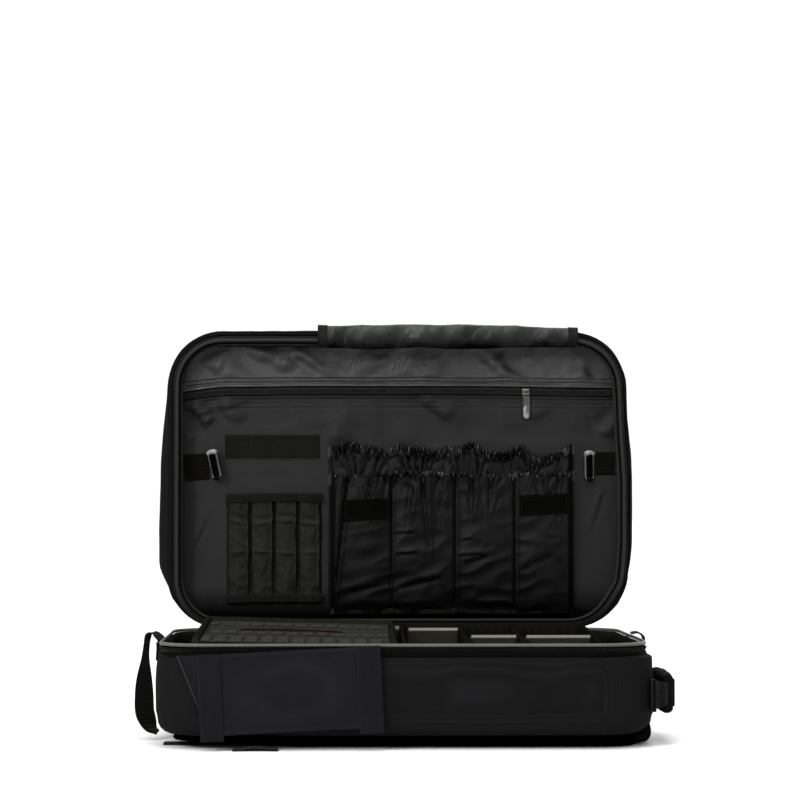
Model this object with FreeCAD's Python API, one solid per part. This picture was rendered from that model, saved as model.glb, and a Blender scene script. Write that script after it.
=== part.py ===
import FreeCAD, Part
import math
import os

# Soft clamshell organiser bag lying on its back panel, lid standing open behind the base.
# Lengths in mm. +X to the right, +Y away from the front, +Z up, floor at z = 0.
# Dimensions are given from the middle of the bag; CENTRE_X moves the whole bag so that the
# origin is the middle of its outline on the floor.

V = FreeCAD.Vector
CENTRE_X = -5.0

# rim: the piped edge that base and lid share when the bag is shut
RIM_WIDTH = 480.0
RIM_DEPTH = 311.0
RIM_RADIUS = 50.0
PIPING_DIAMETER = 4.4
HINGE_Y = 134.5
HINGE_Z = 105.6
HINGE_GAP = 2.6          # from the hinge line to each rim's centre line
HINGE_CORD_DIAMETER = 2.4
CLEAR = 0.3              # air between neighbouring layers

# base
BASE_BOTTOM = 13.0
SHELL_WALL = 4.0
SHELL_TOP = -11.0        # below the rim plane
SHELL_BULGE_LEFT = 5.0
SHELL_BULGE_RIGHT = 11.0
SHELL_BULGE_FRONT = 5.0
SHELL_BULGE_HINGE = 2.0
BASE_FILLET = 14.0
LINER_OUTSET = -2.7
LINER_WALL = 4.0
ZIP_TAPE_WIDTH = 8.4
ZIP_TAPE_THICKNESS = 2.6

# lid
LID_DEPTH = 52.0
LID_SHELL_START = 11.0
LID_BULGE_SIDE = 20.5
LID_BULGE_TOP = 11.3
LID_RADIUS = 62.0
LID_FILLET = 16.0
LINING_DEPTH = 31.0
LINING_THICKNESS = 2.5
BOARD_DEPTH = 34.3

# boxes standing in the base
BOX_FRONT_Y = -168.0
BOX_BACK_Y = 112.0
BOX_WALL = 5.0
LEFT_BOX_X = (-208.0, -2.0)
RIGHT_BOX_X = (2.0, 203.0)
BOX_FLOOR_Z = 26.0
LEFT_BOX_TOP = 94.0
RIGHT_BOX_FRONT_TOP = 105.0
RIGHT_BOX_SLOPE = 1.3    # degrees, its rim rises towards the back
PALLET_THICKNESS = 11.0
PALLET_SLOPE_BACK = 1.6  # degrees, the pallet rises towards the back
PALLET_SLOPE_LEFT = 1.5  # and towards the left
DIVIDER_THICKNESS = 6.0

# fronts, straps and handle
FRONT_FACE_Y = HINGE_Y - HINGE_GAP - RIM_DEPTH - SHELL_BULGE_FRONT
SLEEVE_TILT = 2.9
WEBBING = 1.5
GRIP_Y = (-132.0, -8.0)
GRIP_Z = (31.0, 73.0)


def box(x, y, z):
    """Block between pairs of limits."""
    return Part.makeBox(x[1] - x[0], y[1] - y[0], z[1] - z[0], V(x[0], y[0], z[0]))


def round_along(shape, radius, axis):
    """Rounds the straight edges that run along one axis."""
    def runs_along(edge):
        a, b = edge.Vertexes[0].Point, edge.Vertexes[-1].Point
        return edge.Length > 1e-6 and abs((b - a).normalize().dot(axis)) > 0.999
    edges = [e for e in shape.Edges if len(e.Vertexes) > 1 and runs_along(e)]
    return shape.makeFillet(radius, edges)


def edges_at(shape, pick):
    """Edges whose every point passes the test."""
    return [e for e in shape.Edges if all(pick(p) for p in e.discretize(5))]


def plate(left, right, front, hinge, radius, low, high):
    """Rounded-rectangle plate around the rim outline. The rim frame has the rim plane at
    z = 0 and the hinge side at y = 0; the four numbers say how far it reaches past the rim."""
    x = (-RIM_WIDTH / 2 - left, RIM_WIDTH / 2 + right)
    y = (-RIM_DEPTH - front, hinge)
    return round_along(box(x, y, (low, high)), radius, V(0, 0, 1))


def even_plate(grow, low, high):
    """Plate that reaches the same distance past the rim on all sides."""
    return plate(grow, grow, grow, grow, RIM_RADIUS + grow, low, high)


def in_base(shape):
    """From the rim frame to the base, below the rim plane."""
    shape.translate(V(0, HINGE_Y - HINGE_GAP, HINGE_Z - HINGE_GAP))
    return shape


def in_lid(shape):
    """From the rim frame to the open lid: up from the shut lid becomes away from the front."""
    shape.rotate(V(0, 0, 0), V(1, 0, 0), -90)
    shape.translate(V(0, HINGE_Y + HINGE_GAP, HINGE_Z + HINGE_GAP))
    return shape


def on_lid(x, z, depth):
    """Block on the open lid, between widths, heights and depths behind its rim plane."""
    rim_y = HINGE_Y + HINGE_GAP
    return box(x, (rim_y + depth[0], rim_y + depth[1]), z)


def open_side(shape, low, high):
    """Takes away the hinge side of a ring in the rim frame."""
    cutter = box((-400, 400), (-RIM_RADIUS + 6, 60), (low - 1, high + 1))
    return shape.cut(cutter)


def rim_ring(diameter):
    """Piping around the rim outline, its centre line in the rim plane."""
    r = diameter / 2
    path = even_plate(0, 0, 1)
    wire = [f for f in path.Faces if abs(f.CenterOfMass.z) < 1e-6][0].OuterWire
    start = V(0, -RIM_DEPTH, 0)
    wire = Part.Wire(Part.sortEdges(split_at(wire, start))[0])
    first = wire.OrderedVertexes[0].Point
    circle = Part.Wire(Part.makeCircle(r, first, tangent_at(wire)))
    return wire.makePipeShell([circle], True, False)


def split_at(wire, point):
    """Edges of a wire, the one that holds the point cut in two there."""
    edges = []
    for edge in wire.Edges:
        param = edge.Curve.parameter(point)
        inside = edge.FirstParameter + 1 < param < edge.LastParameter - 1
        near = edge.distToShape(Part.Vertex(point))[0] < 1e-6
        edges += edge.split(param).Edges if inside and near else [edge]
    return edges


def tangent_at(wire):
    """Direction of a wire at its first point."""
    edge = wire.OrderedEdges[0]
    return edge.tangentAt(edge.FirstParameter)


def zip_tape(low, high):
    """Zipper tape and coil around the three sides that open."""
    ring = even_plate(ZIP_TAPE_THICKNESS / 2, low, high)
    ring = ring.cut(even_plate(-ZIP_TAPE_THICKNESS / 2, low - 1, high + 1))
    return open_side(ring, low, high)


# ---- base ----

def base_outer_shell():
    """Padded outer tub."""
    floor = BASE_BOTTOM - (HINGE_Z - HINGE_GAP)
    outer = plate(SHELL_BULGE_LEFT, SHELL_BULGE_RIGHT, SHELL_BULGE_FRONT, SHELL_BULGE_HINGE,
                  RIM_RADIUS + SHELL_BULGE_FRONT, floor, SHELL_TOP)
    outer = outer.makeFillet(BASE_FILLET, edges_at(outer, lambda p: abs(p.z - floor) < 1e-3))
    lining = plate(SHELL_BULGE_LEFT - SHELL_WALL, SHELL_BULGE_RIGHT - SHELL_WALL,
                   SHELL_BULGE_FRONT - SHELL_WALL, SHELL_BULGE_HINGE - SHELL_WALL,
                   RIM_RADIUS + SHELL_BULGE_FRONT - SHELL_WALL, floor + SHELL_WALL, 1)
    return in_base(outer.cut(lining))


def base_bottom_board():
    """Stiffener sheet between shell and lining."""
    low = BASE_BOTTOM + SHELL_WALL + CLEAR - (HINGE_Z - HINGE_GAP)
    return in_base(even_plate(-12, low, low + 2))


def base_liner():
    """Lining tub that carries the rim."""
    low = BASE_BOTTOM + SHELL_WALL + 2 + 2 * CLEAR - (HINGE_Z - HINGE_GAP)
    top = -PIPING_DIAMETER / 2 - CLEAR
    outer = even_plate(LINER_OUTSET, low, top)
    return in_base(outer.cut(even_plate(LINER_OUTSET - LINER_WALL, low + 3, 1)))


def base_rim_piping():
    return in_base(rim_ring(PIPING_DIAMETER))


def lid_rim_piping():
    return in_lid(rim_ring(PIPING_DIAMETER))


def base_zipper_tape():
    top = -PIPING_DIAMETER / 2 - CLEAR
    return in_base(zip_tape(top - ZIP_TAPE_WIDTH, top))


def lid_zipper_tape():
    low = PIPING_DIAMETER / 2 + CLEAR
    return in_lid(zip_tape(low, low + ZIP_TAPE_WIDTH))


def hinge_cord():
    """Bound fold that lid and base turn on."""
    length = RIM_WIDTH - 2 * RIM_RADIUS
    start = V(-length / 2, HINGE_Y, HINGE_Z)
    return Part.makeCylinder(HINGE_CORD_DIAMETER / 2, length, start, V(1, 0, 0))


def back_panel_pad():
    """Padded back panel under the base."""
    pad = box((-228, 236), (-166, 116), (7.0, BASE_BOTTOM - CLEAR))
    return round_along(pad, 40, V(0, 0, 1))


def shoulder_pad(y):
    """Padded half of a shoulder strap, folded flat under the back panel."""
    pad = box((-120, 238), y, (0, 6.7))
    return round_along(pad, 20, V(0, 0, 1))


def shoulder_webbing(y):
    """Webbing from a ladder lock to the far end of the back panel."""
    middle = (y[0] + y[1]) / 2
    return box((-238, -152), (middle - 12.5, middle + 12.5), (0, 2))


def ladder_lock(y):
    """Flat adjuster between shoulder pad and webbing, with two slots."""
    middle = (y[0] + y[1]) / 2
    frame = box((-151.7, -120.3), (middle - 17, middle + 17), (0, 4))
    for x in (-147, -132):
        frame = frame.cut(box((x, x + 8), (middle - 13, middle + 13), (-1, 5)))
    return frame


def strap_section(point, along, turn, width):
    """Rectangle of webbing across a path; turn 0 lies edge-on to the front, 90 face-on."""
    angle = math.radians(turn)
    across = V(math.sin(angle), math.cos(angle), 0)
    across = (across - V(along).multiply(across.dot(along))).normalize()
    normal = along.cross(across).normalize()
    a, b = normal.multiply(WEBBING / 2), across.multiply(width / 2)
    corners = [point + a + b, point - a + b, point - a - b, point + a - b]
    return Part.makePolygon(corners + corners[:1])


def side_strap():
    """Hanging webbing loop: leaves the rim corner edge-on, turns face-on as it falls."""
    run = [(-250.5, 101, 0), (-251.5, 107, 0), (-254.3, 110.5, 0), (-257.4, 107, 3), (-259, 98, 10),
           (-260.5, 82, 24), (-261.5, 62, 50), (-261.5, 44, 72), (-261.2, 30, 80),
           (-259, 19, 80), (-256, 11.5, 76), (-253, 7.5, 70)]
    points = [V(x, -60, z) for x, z, turn in run]
    sections = []
    for n, point in enumerate(points):
        before, after = points[max(n - 1, 0)], points[min(n + 1, len(points) - 1)]
        along = (after - before).normalize()
        sections.append(strap_section(point, along, run[n][2], 20 if n < len(run) - 1 else 14))
    return Part.makeLoft(sections[::-1], True, True)


def side_strap_anchor():
    """Stitched tab that holds the hanging strap at the left of the rim."""
    return box((-249.3, -247.6), (-73, -47), (82, 104.5))


def side_loop_tab():
    """Folded webbing tab that stands out at the right of the rim."""
    upright = box((247.4, 249.0), (-42, -17), (92.3, 112))
    lip = box((249.0, 259), (-42, -17), (110.4, 112))
    return upright.fuse(lip).removeSplitter()


def webbing_tail():
    """Loose strap end lying on the floor at the front."""
    return box((-166, -121), (-190, -166), (0, 2))


def strap_end_tab():
    """Sewn end of the shoulder straps, turned up at the right bottom corner."""
    foot = box((238.5, 252.8), (-120, -62), (0.2, 6.7))
    upright = box((251.3, 252.8), (-120, -62), (6, 34))
    return foot.fuse(upright).removeSplitter()


def tilted(shape):
    """Turned in the plane of the front so that its right end stands higher."""
    shape.rotate(V(-110, 0, 55), V(0, 1, 0), -SLEEVE_TILT)
    return shape


def front_sleeve_panel():
    """Flat sleeve sewn across the front, open behind."""
    gap = 4.5
    panel = box((-176, -42), (FRONT_FACE_Y - gap - 2, FRONT_FACE_Y - gap), (19, 99))
    return tilted(panel)


def sleeve_webbing(x):
    """Upright webbing strip that edges the sleeve."""
    face = FRONT_FACE_Y - 6.8
    return tilted(box(x, (face - WEBBING, face), (13, 99)))


def sleeve_wedge():
    """Three-cornered reinforcement behind the sleeve's left strip."""
    corners = [V(-220, 0, 94), V(-178, 0, 94), V(-178, 0, 43), V(-199, 0, 43)]
    face = Part.Face(Part.makePolygon(corners + corners[:1]))
    wedge = face.extrude(V(0, 1.2, 0))
    wedge.translate(V(0, FRONT_FACE_Y - 2.0, 0))
    return wedge


# ---- grab handle ----

def handle_webbing():
    """Free webbing from one sewn end of the handle through the grip to the other."""
    wall = RIM_WIDTH / 2 + SHELL_BULGE_RIGHT
    front, back = GRIP_Y
    outline = [(wall + 5, front - 15), (wall + 20, front - 2), (wall + 20, back + 2),
               (wall + 5, back + 15), (wall + 6.5, back + 16), (wall + 22, back + 2.4),
               (wall + 22, front - 2.4), (wall + 6.5, front - 16)]
    points = [V(x, y, 39) for x, y in outline]
    return Part.Face(Part.makePolygon(points + points[:1])).extrude(V(0, 0, 26))


def handle_grip():
    """Padded wrap around the middle of the handle webbing."""
    wall = RIM_WIDTH / 2 + SHELL_BULGE_RIGHT
    grip = round_along(box((wall + 12, wall + 30), GRIP_Y, GRIP_Z), 6, V(0, 1, 0))
    inside = box((wall + 19.4, wall + 22.6), (GRIP_Y[0] - 3, GRIP_Y[1] + 3), (38.5, 65.5))
    return grip.cut(inside)


def handle_patch(y):
    """Sewn square on the end wall that holds one end of the handle."""
    wall = RIM_WIDTH / 2 + SHELL_BULGE_RIGHT
    return box((wall + CLEAR, wall + 4.0), y, (36, 68))


# ---- lid ----

def lid_outer_shell():
    """Padded outer tub of the lid."""
    def tub(inset, low, high, radius):
        return plate(LID_BULGE_SIDE - inset, LID_BULGE_SIDE - inset, LID_BULGE_TOP - inset,
                     2.0 - inset, radius, low, high)
    outer = tub(0, LID_SHELL_START, LID_DEPTH, LID_RADIUS)
    back = edges_at(outer, lambda p: abs(p.z - LID_DEPTH) < 1e-3)
    outer = outer.makeFillet(LID_FILLET, back)
    inner = tub(SHELL_WALL, LID_SHELL_START - 1, LID_DEPTH - SHELL_WALL, LID_RADIUS - SHELL_WALL)
    return in_lid(outer.cut(inner))


def lid_padding():
    """Foam between the lid's shell and its lining."""
    inset = SHELL_WALL + CLEAR
    outer = plate(LID_BULGE_SIDE - inset, LID_BULGE_SIDE - inset, LID_BULGE_TOP - inset,
                  2.0 - inset, LID_RADIUS - inset, LID_SHELL_START + 0.5, LID_DEPTH - inset)
    hollow = even_plate(LINER_OUTSET + CLEAR, LID_SHELL_START - 1, BOARD_DEPTH + 2 + CLEAR)
    return in_lid(outer.cut(hollow))


def lid_stiffener_board():
    """Sheet behind the lining that keeps the lid flat."""
    return in_lid(even_plate(LINER_OUTSET - 1, BOARD_DEPTH, BOARD_DEPTH + 2))


def lid_liner():
    """Side walls of the lid's hollow, from the rim to the lining."""
    low, high = PIPING_DIAMETER / 2 + CLEAR, BOARD_DEPTH - CLEAR
    ring = even_plate(LINER_OUTSET, low, high)
    return in_lid(ring.cut(even_plate(LINER_OUTSET - 3, low - 1, high + 1)))


def lining_piece(z):
    """Part of the lining between two heights, within the liner's side walls."""
    whole = in_lid(even_plate(LINER_OUTSET - 3 - CLEAR, LINING_DEPTH, LINING_DEPTH + LINING_THICKNESS))
    return whole.common(on_lid((-300, 300), z, (0, 60)))


def lining_upper_band():
    return lining_piece((370.8, 460))


def lining_lower_panel():
    return lining_piece((100, 356.7))


def pocket_zipper_tape():
    """Closed zipper across the lining."""
    return on_lid((-233, 233), (357.0, 370.5), (LINING_DEPTH + 0.6, LINING_DEPTH + 1.9))


def elastic_loop_strip():
    """Elastic band sewn down at three places to make four loops."""
    back = LINING_DEPTH - CLEAR
    strip = on_lid((-189, -84), (291, 316), (back - 1.2, back))
    for n in range(4):
        left = -189 + 26.25 * n
        loop = on_lid((left + 2.5, left + 23.75), (291, 316), (back - 3.0, back - 1.2))
        strip = strip.fuse(loop)
    return strip.removeSplitter()


def pen_pocket():
    """Four upright slots, open at the top."""
    back = LINING_DEPTH - CLEAR
    body = on_lid((-187, -82), (131, 250), (back - 8.4, back))
    for n in range(4):
        left = -187 + 26.25 * n
        slot = on_lid((left + 1.2, left + 25.05), (133, 260), (back - 7.0, back - 1.0))
        body = body.cut(slot)
    return body


def pen_pocket_binding(z):
    """Bound edge across the slots."""
    front = LINING_DEPTH - CLEAR - 8.4 - CLEAR
    return on_lid((-187.5, -81.5), z, (front - 1.2, front))


def gathered_pocket(z, front, back):
    """Wide gathered pocket: front wall, ends and bottom, open at the top."""
    pocket = on_lid((-75, 198), z, (front, back))
    return pocket.cut(on_lid((-73, 196), (z[0] + 2, z[1] + 5), (front + 1.5, back + 1)))


def pocket_elastic(z, front, back):
    """Ruffled elastic edge of a gathered pocket."""
    return on_lid((-75, 198), z, (front, back))


def hook_patch(x, z):
    """Hook-and-loop square on the front pocket."""
    return on_lid(x, z, (12.0, 14.2))


def ring_tab(x, z, lean):
    """Ribbed webbing tab sewn down beside a ring."""
    tab = on_lid(x, z, (LINING_DEPTH - 2.6, LINING_DEPTH - CLEAR))
    tab.rotate(V((x[0] + x[1]) / 2, 0, (z[0] + z[1]) / 2), V(0, 1, 0), lean)
    return tab


def strap_ring(side, x, z, lean):
    """Rectangular wire ring that turns on its long bar; side +1 opens to the right."""
    depth, height, wire, turn = 18.0, 34.0, 3.0, 52.0
    ring = box((-1.5, depth - 1.5), (-wire / 2, wire / 2), (-height / 2, height / 2))
    ring = round_along(ring, 5, V(0, 1, 0))
    hole = box((wire - 1.5, depth - wire - 1.5), (-5, 5), (wire - height / 2, height / 2 - wire))
    ring = ring.cut(round_along(hole, 2.5, V(0, 1, 0)))
    ring = ring.fuse(Part.makeCylinder(wire / 2, height - 10, V(0, 0, 5 - height / 2)))
    ring = ring.removeSplitter()
    if side < 0:
        ring.rotate(V(0, 0, 0), V(0, 0, 1), 180)
    ring.rotate(V(0, 0, 0), V(0, 0, 1), -side * turn)
    ring.rotate(V(0, 0, 0), V(0, 1, 0), lean)
    ring.translate(V(x, HINGE_Y + HINGE_GAP + LINING_DEPTH - 4.8, z))
    return ring


def lid_flap():
    """Coated cover flap sewn along the lid's top wall and hanging over its rim."""
    top = on_lid((-86, 199), (430.9, 433.2), (-5.0, 42.0))
    drop = on_lid((-86, 199), (409.5, 436.5), (-5.0, -2.8))
    ridge = on_lid((-86, 199), (430.9, 436.5), (-5.0, 3.0))
    return top.fuse([drop, ridge]).removeSplitter()


def flap_hem():
    """Seam cord that the flap turns on."""
    return Part.makeCylinder(1.2, 285, V(-86, HINGE_Y + HINGE_GAP + 43.6, 432.1), V(1, 0, 0))


# ---- zipper sliders ----

def pocket_slider():
    """Slider of the lining's zipper, with the bridge that holds its pull."""
    body = on_lid((139.5, 148.5), (358.5, 368.5), (LINING_DEPTH - 2.6, LINING_DEPTH + 0.3))
    bridge = on_lid((142.2, 145.8), (359.2, 363.5), (LINING_DEPTH - 4.4, LINING_DEPTH - 2.6))
    return body.fuse(bridge).removeSplitter()


def pocket_pull():
    """Flat pull hanging from the slider on a round bar."""
    depth = LINING_DEPTH - 3.8
    pull = on_lid((139.8, 148.2), (334.0, 357.6), (depth - 0.8, depth + 0.8))
    bar = Part.makeCylinder(1.2, 8.4, V(139.8, HINGE_Y + HINGE_GAP + depth, 357.6), V(1, 0, 0))
    return pull.fuse(bar).removeSplitter()


def main_slider(side):
    """Slider of the bag's own zipper, on the base's outer edge near the hinge."""
    x = (RIM_WIDTH / 2 + 1.8, RIM_WIDTH / 2 + 4.6)
    x = x if side > 0 else (-x[1], -x[0])
    return box(x, (74, 86), (92.4, 100.4))


def main_pull(side):
    """Pull of a main slider, lying along the zipper on an upright bar."""
    reach = RIM_WIDTH / 2 + 5.9
    x = (reach - 0.8, reach + 0.8)
    x = x if side > 0 else (-x[1], -x[0])
    pull = box(x, (48, 72.4), (92.6, 100.2))
    bar = Part.makeCylinder(1.2, 7.6, V(side * reach, 72.4, 92.6))
    return pull.fuse(bar).removeSplitter()


# ---- boxes, pallet and dividers ----

def open_box(x, top):
    """Padded open box standing on the lining."""
    y = (BOX_FRONT_Y, BOX_BACK_Y)
    outer = round_along(box(x, y, (BOX_FLOOR_Z - 3, top)), 6, V(0, 0, 1))
    inner = box((x[0] + BOX_WALL, x[1] - BOX_WALL), (y[0] + BOX_WALL, y[1] - BOX_WALL),
                (BOX_FLOOR_Z, top + 1))
    return outer.cut(inner)


def sloped(shape, front_top):
    """Trims a piece of the right box to a top that rises towards the back."""
    cutter = box((-50, 260), (-20, 320), (0, 60))
    cutter.rotate(V(0, 0, 0), V(1, 0, 0), RIGHT_BOX_SLOPE)
    cutter.translate(V(0, BOX_FRONT_Y, front_top))
    return shape.cut(cutter)


def on_pallet(shape):
    """From a level pallet, its underside at z = 0, to where it lies on the left box."""
    corner = V(LEFT_BOX_X[1], BOX_FRONT_Y, 0)
    shape.rotate(corner, V(1, 0, 0), PALLET_SLOPE_BACK)
    shape.rotate(corner, V(0, 1, 0), PALLET_SLOPE_LEFT)
    shape.translate(V(0, 0, LEFT_BOX_TOP + 2 * CLEAR))
    return shape


def pallet_board():
    """Removable padded pallet that covers the left box, with a raised border."""
    x, y = LEFT_BOX_X, (BOX_FRONT_Y, BOX_BACK_Y)
    board = round_along(box(x, y, (0, PALLET_THICKNESS)), 6, V(0, 0, 1))
    sunk = box((x[0] + 8, x[1] - 8), (y[0] + 8, y[1] - 8), (PALLET_THICKNESS - 5, 20))
    return on_pallet(board.cut(sunk))


def pallet_elastic(y):
    """Row of elastic loops sewn across the pallet."""
    low = PALLET_THICKNESS - 5 + CLEAR
    left, right = LEFT_BOX_X[0] + 9, LEFT_BOX_X[1] - 9
    strip = box((left, right), y, (low, low + 1))
    count = 12
    pitch = (right - left) / count
    for n in range(count):
        loop = box((left + n * pitch + 1.2, left + (n + 1) * pitch - 1.2), y, (low + 1, low + 3.2))
        strip = strip.fuse(loop)
    return on_pallet(strip.removeSplitter())


def long_divider(x):
    """Padded divider from the front to the back of the right box."""
    y = (BOX_FRONT_Y + BOX_WALL + CLEAR, BOX_BACK_Y - BOX_WALL - CLEAR)
    half = DIVIDER_THICKNESS / 2
    return sloped(box((x - half, x + half), y, (BOX_FLOOR_Z + CLEAR, 130)), RIGHT_BOX_FRONT_TOP - 0.5)


def cross_divider(x, y):
    """Short padded divider across one lane of the right box."""
    piece = box((x[0] + CLEAR, x[1] - CLEAR), (y - 3, y + 3), (BOX_FLOOR_Z + CLEAR, 130))
    return sloped(piece, RIGHT_BOX_FRONT_TOP - 2)


def both(first, second):
    """Two like pieces that share a node."""
    return Part.makeCompound([first, second])


def all_parts():
    """Every node of the bag with its solid."""
    straps = [(-142, -74), (24, 92)]
    rows = [(-158, -78), (-62, 12), (30, 98)]
    long_1, long_2 = 67.0, 124.0
    half = DIVIDER_THICKNESS / 2
    inner = (RIGHT_BOX_X[0] + BOX_WALL, RIGHT_BOX_X[1] - BOX_WALL)
    parts = {
        "base_outer_shell": base_outer_shell(),
        "base_bottom_board": base_bottom_board(),
        "base_liner": base_liner(),
        "base_rim_piping": base_rim_piping(),
        "base_zipper_tape": base_zipper_tape(),
        "hinge_cord": hinge_cord(),
        "back_panel_pad": back_panel_pad(),
        "shoulder_strap_pads": both(shoulder_pad(straps[0]), shoulder_pad(straps[1])),
        "shoulder_webbings": both(shoulder_webbing(straps[0]), shoulder_webbing(straps[1])),
        "ladder_locks": both(ladder_lock(straps[0]), ladder_lock(straps[1])),
        "side_strap": side_strap(),
        "side_strap_anchor": side_strap_anchor(),
        "side_loop_tab": side_loop_tab(),
        "webbing_tail": webbing_tail(),
        "strap_end_tab": strap_end_tab(),
        "front_sleeve_panel": front_sleeve_panel(),
        "sleeve_webbings": both(sleeve_webbing((-199, -176)), sleeve_webbing((-42, -18))),
        "sleeve_wedge": sleeve_wedge(),
        "handle_patches": both(handle_patch((GRIP_Y[0] - 27, GRIP_Y[0] - 18)),
                               handle_patch((GRIP_Y[1] + 18, GRIP_Y[1] + 27))),
        "handle_webbing": handle_webbing(),
        "handle_grip": handle_grip(),
        "lid_outer_shell": lid_outer_shell(),
        "lid_padding": lid_padding(),
        "lid_stiffener_board": lid_stiffener_board(),
        "lid_liner": lid_liner(),
        "lid_rim_piping": lid_rim_piping(),
        "lid_zipper_tape": lid_zipper_tape(),
        "lining_upper_band": lining_upper_band(),
        "lining_lower_panel": lining_lower_panel(),
        "pocket_zipper_tape": pocket_zipper_tape(),
        "elastic_loop_strip": elastic_loop_strip(),
        "pen_pocket": pen_pocket(),
        "pen_pocket_bindings": both(pen_pocket_binding((241, 250)), pen_pocket_binding((131, 140))),
        "gathered_pocket_front": gathered_pocket((120, 268), 14.5, 23.4),
        "gathered_pocket_rear": gathered_pocket((120, 298), 23.8, LINING_DEPTH - CLEAR),
        "front_pocket_elastic": pocket_elastic((268.3, 279), 13.0, 16.0),
        "rear_pocket_elastic": pocket_elastic((298.3, 309), 22.6, 25.6),
        "hook_patches": both(hook_patch((-57, -7), (221, 244)), hook_patch((136, 189), (227, 249))),
        "ring_tab_left": ring_tab((-231, -207), (266, 295), -6),
        "ring_tab_right": ring_tab((221, 234), (272, 297), 0),
        "strap_ring_left": strap_ring(1, -204.5, 281, -12),
        "strap_ring_right": strap_ring(-1, 218, 281.5, 0),
        "lid_flap": lid_flap(),
        "flap_hem": flap_hem(),
        "pocket_slider": pocket_slider(),
        "pocket_pull": pocket_pull(),
        "main_slider_left": main_slider(-1),
        "main_slider_right": main_slider(1),
        "main_pull_left": main_pull(-1),
        "main_pull_right": main_pull(1),
        "left_box": open_box(LEFT_BOX_X, LEFT_BOX_TOP),
        "right_box": sloped(open_box(RIGHT_BOX_X, 130), RIGHT_BOX_FRONT_TOP),
        "pallet_board": pallet_board(),
        "pallet_elastics": Part.makeCompound([pallet_elastic(y) for y in rows]),
        "long_divider_left": long_divider(long_1),
        "long_divider_right": long_divider(long_2),
        "cross_divider_left": cross_divider((inner[0], long_1 - half), 60),
        "cross_divider_middle": cross_divider((long_1 + half, long_2 - half), -40),
        "cross_divider_right": cross_divider((long_2 + half, inner[1]), -42),
    }
    return parts


os.makedirs("parts", exist_ok=True)
for node, shape in all_parts().items():
    shape.translate(V(CENTRE_X, 0, 0))
    shape.exportStep(f"parts/{node}.step")
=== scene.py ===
import bmesh
import bpy
import math
import random
import numpy as np
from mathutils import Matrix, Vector, noise


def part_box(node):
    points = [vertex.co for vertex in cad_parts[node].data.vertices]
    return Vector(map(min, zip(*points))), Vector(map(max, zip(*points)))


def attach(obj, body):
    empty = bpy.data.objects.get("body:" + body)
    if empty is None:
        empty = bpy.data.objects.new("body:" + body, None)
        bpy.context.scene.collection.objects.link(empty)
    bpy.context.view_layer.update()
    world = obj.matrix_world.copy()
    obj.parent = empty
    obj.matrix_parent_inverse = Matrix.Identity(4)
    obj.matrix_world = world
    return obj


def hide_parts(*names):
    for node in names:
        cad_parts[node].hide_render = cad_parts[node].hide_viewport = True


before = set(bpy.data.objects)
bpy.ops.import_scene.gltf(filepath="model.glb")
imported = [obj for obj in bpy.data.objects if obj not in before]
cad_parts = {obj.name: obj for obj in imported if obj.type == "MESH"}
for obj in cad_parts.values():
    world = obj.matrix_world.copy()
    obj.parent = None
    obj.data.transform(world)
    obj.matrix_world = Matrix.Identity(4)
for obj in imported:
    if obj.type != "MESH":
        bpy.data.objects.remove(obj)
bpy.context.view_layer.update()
rng = random.Random(11)


# ---------------------------------------------------------------- datums

PIPE = (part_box("base_rim_piping")[1].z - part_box("base_rim_piping")[0].z) / 2
RIM_R = 0.050  # corner radius of both rims
_lo, _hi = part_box("base_rim_piping")
RIM_X = (_lo.x + PIPE, _hi.x - PIPE)
RIM_Y = (_lo.y + PIPE, _hi.y - PIPE)
RIM_Z = _lo.z + PIPE
MID_X = sum(RIM_X) / 2
_lo, _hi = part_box("lid_rim_piping")
LID_Y = _lo.y + PIPE
LID_Z = _lo.z + PIPE
LINING_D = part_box("lining_lower_panel")[0].y - LID_Y


# ---------------------------------------------------------------- materials

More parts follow.
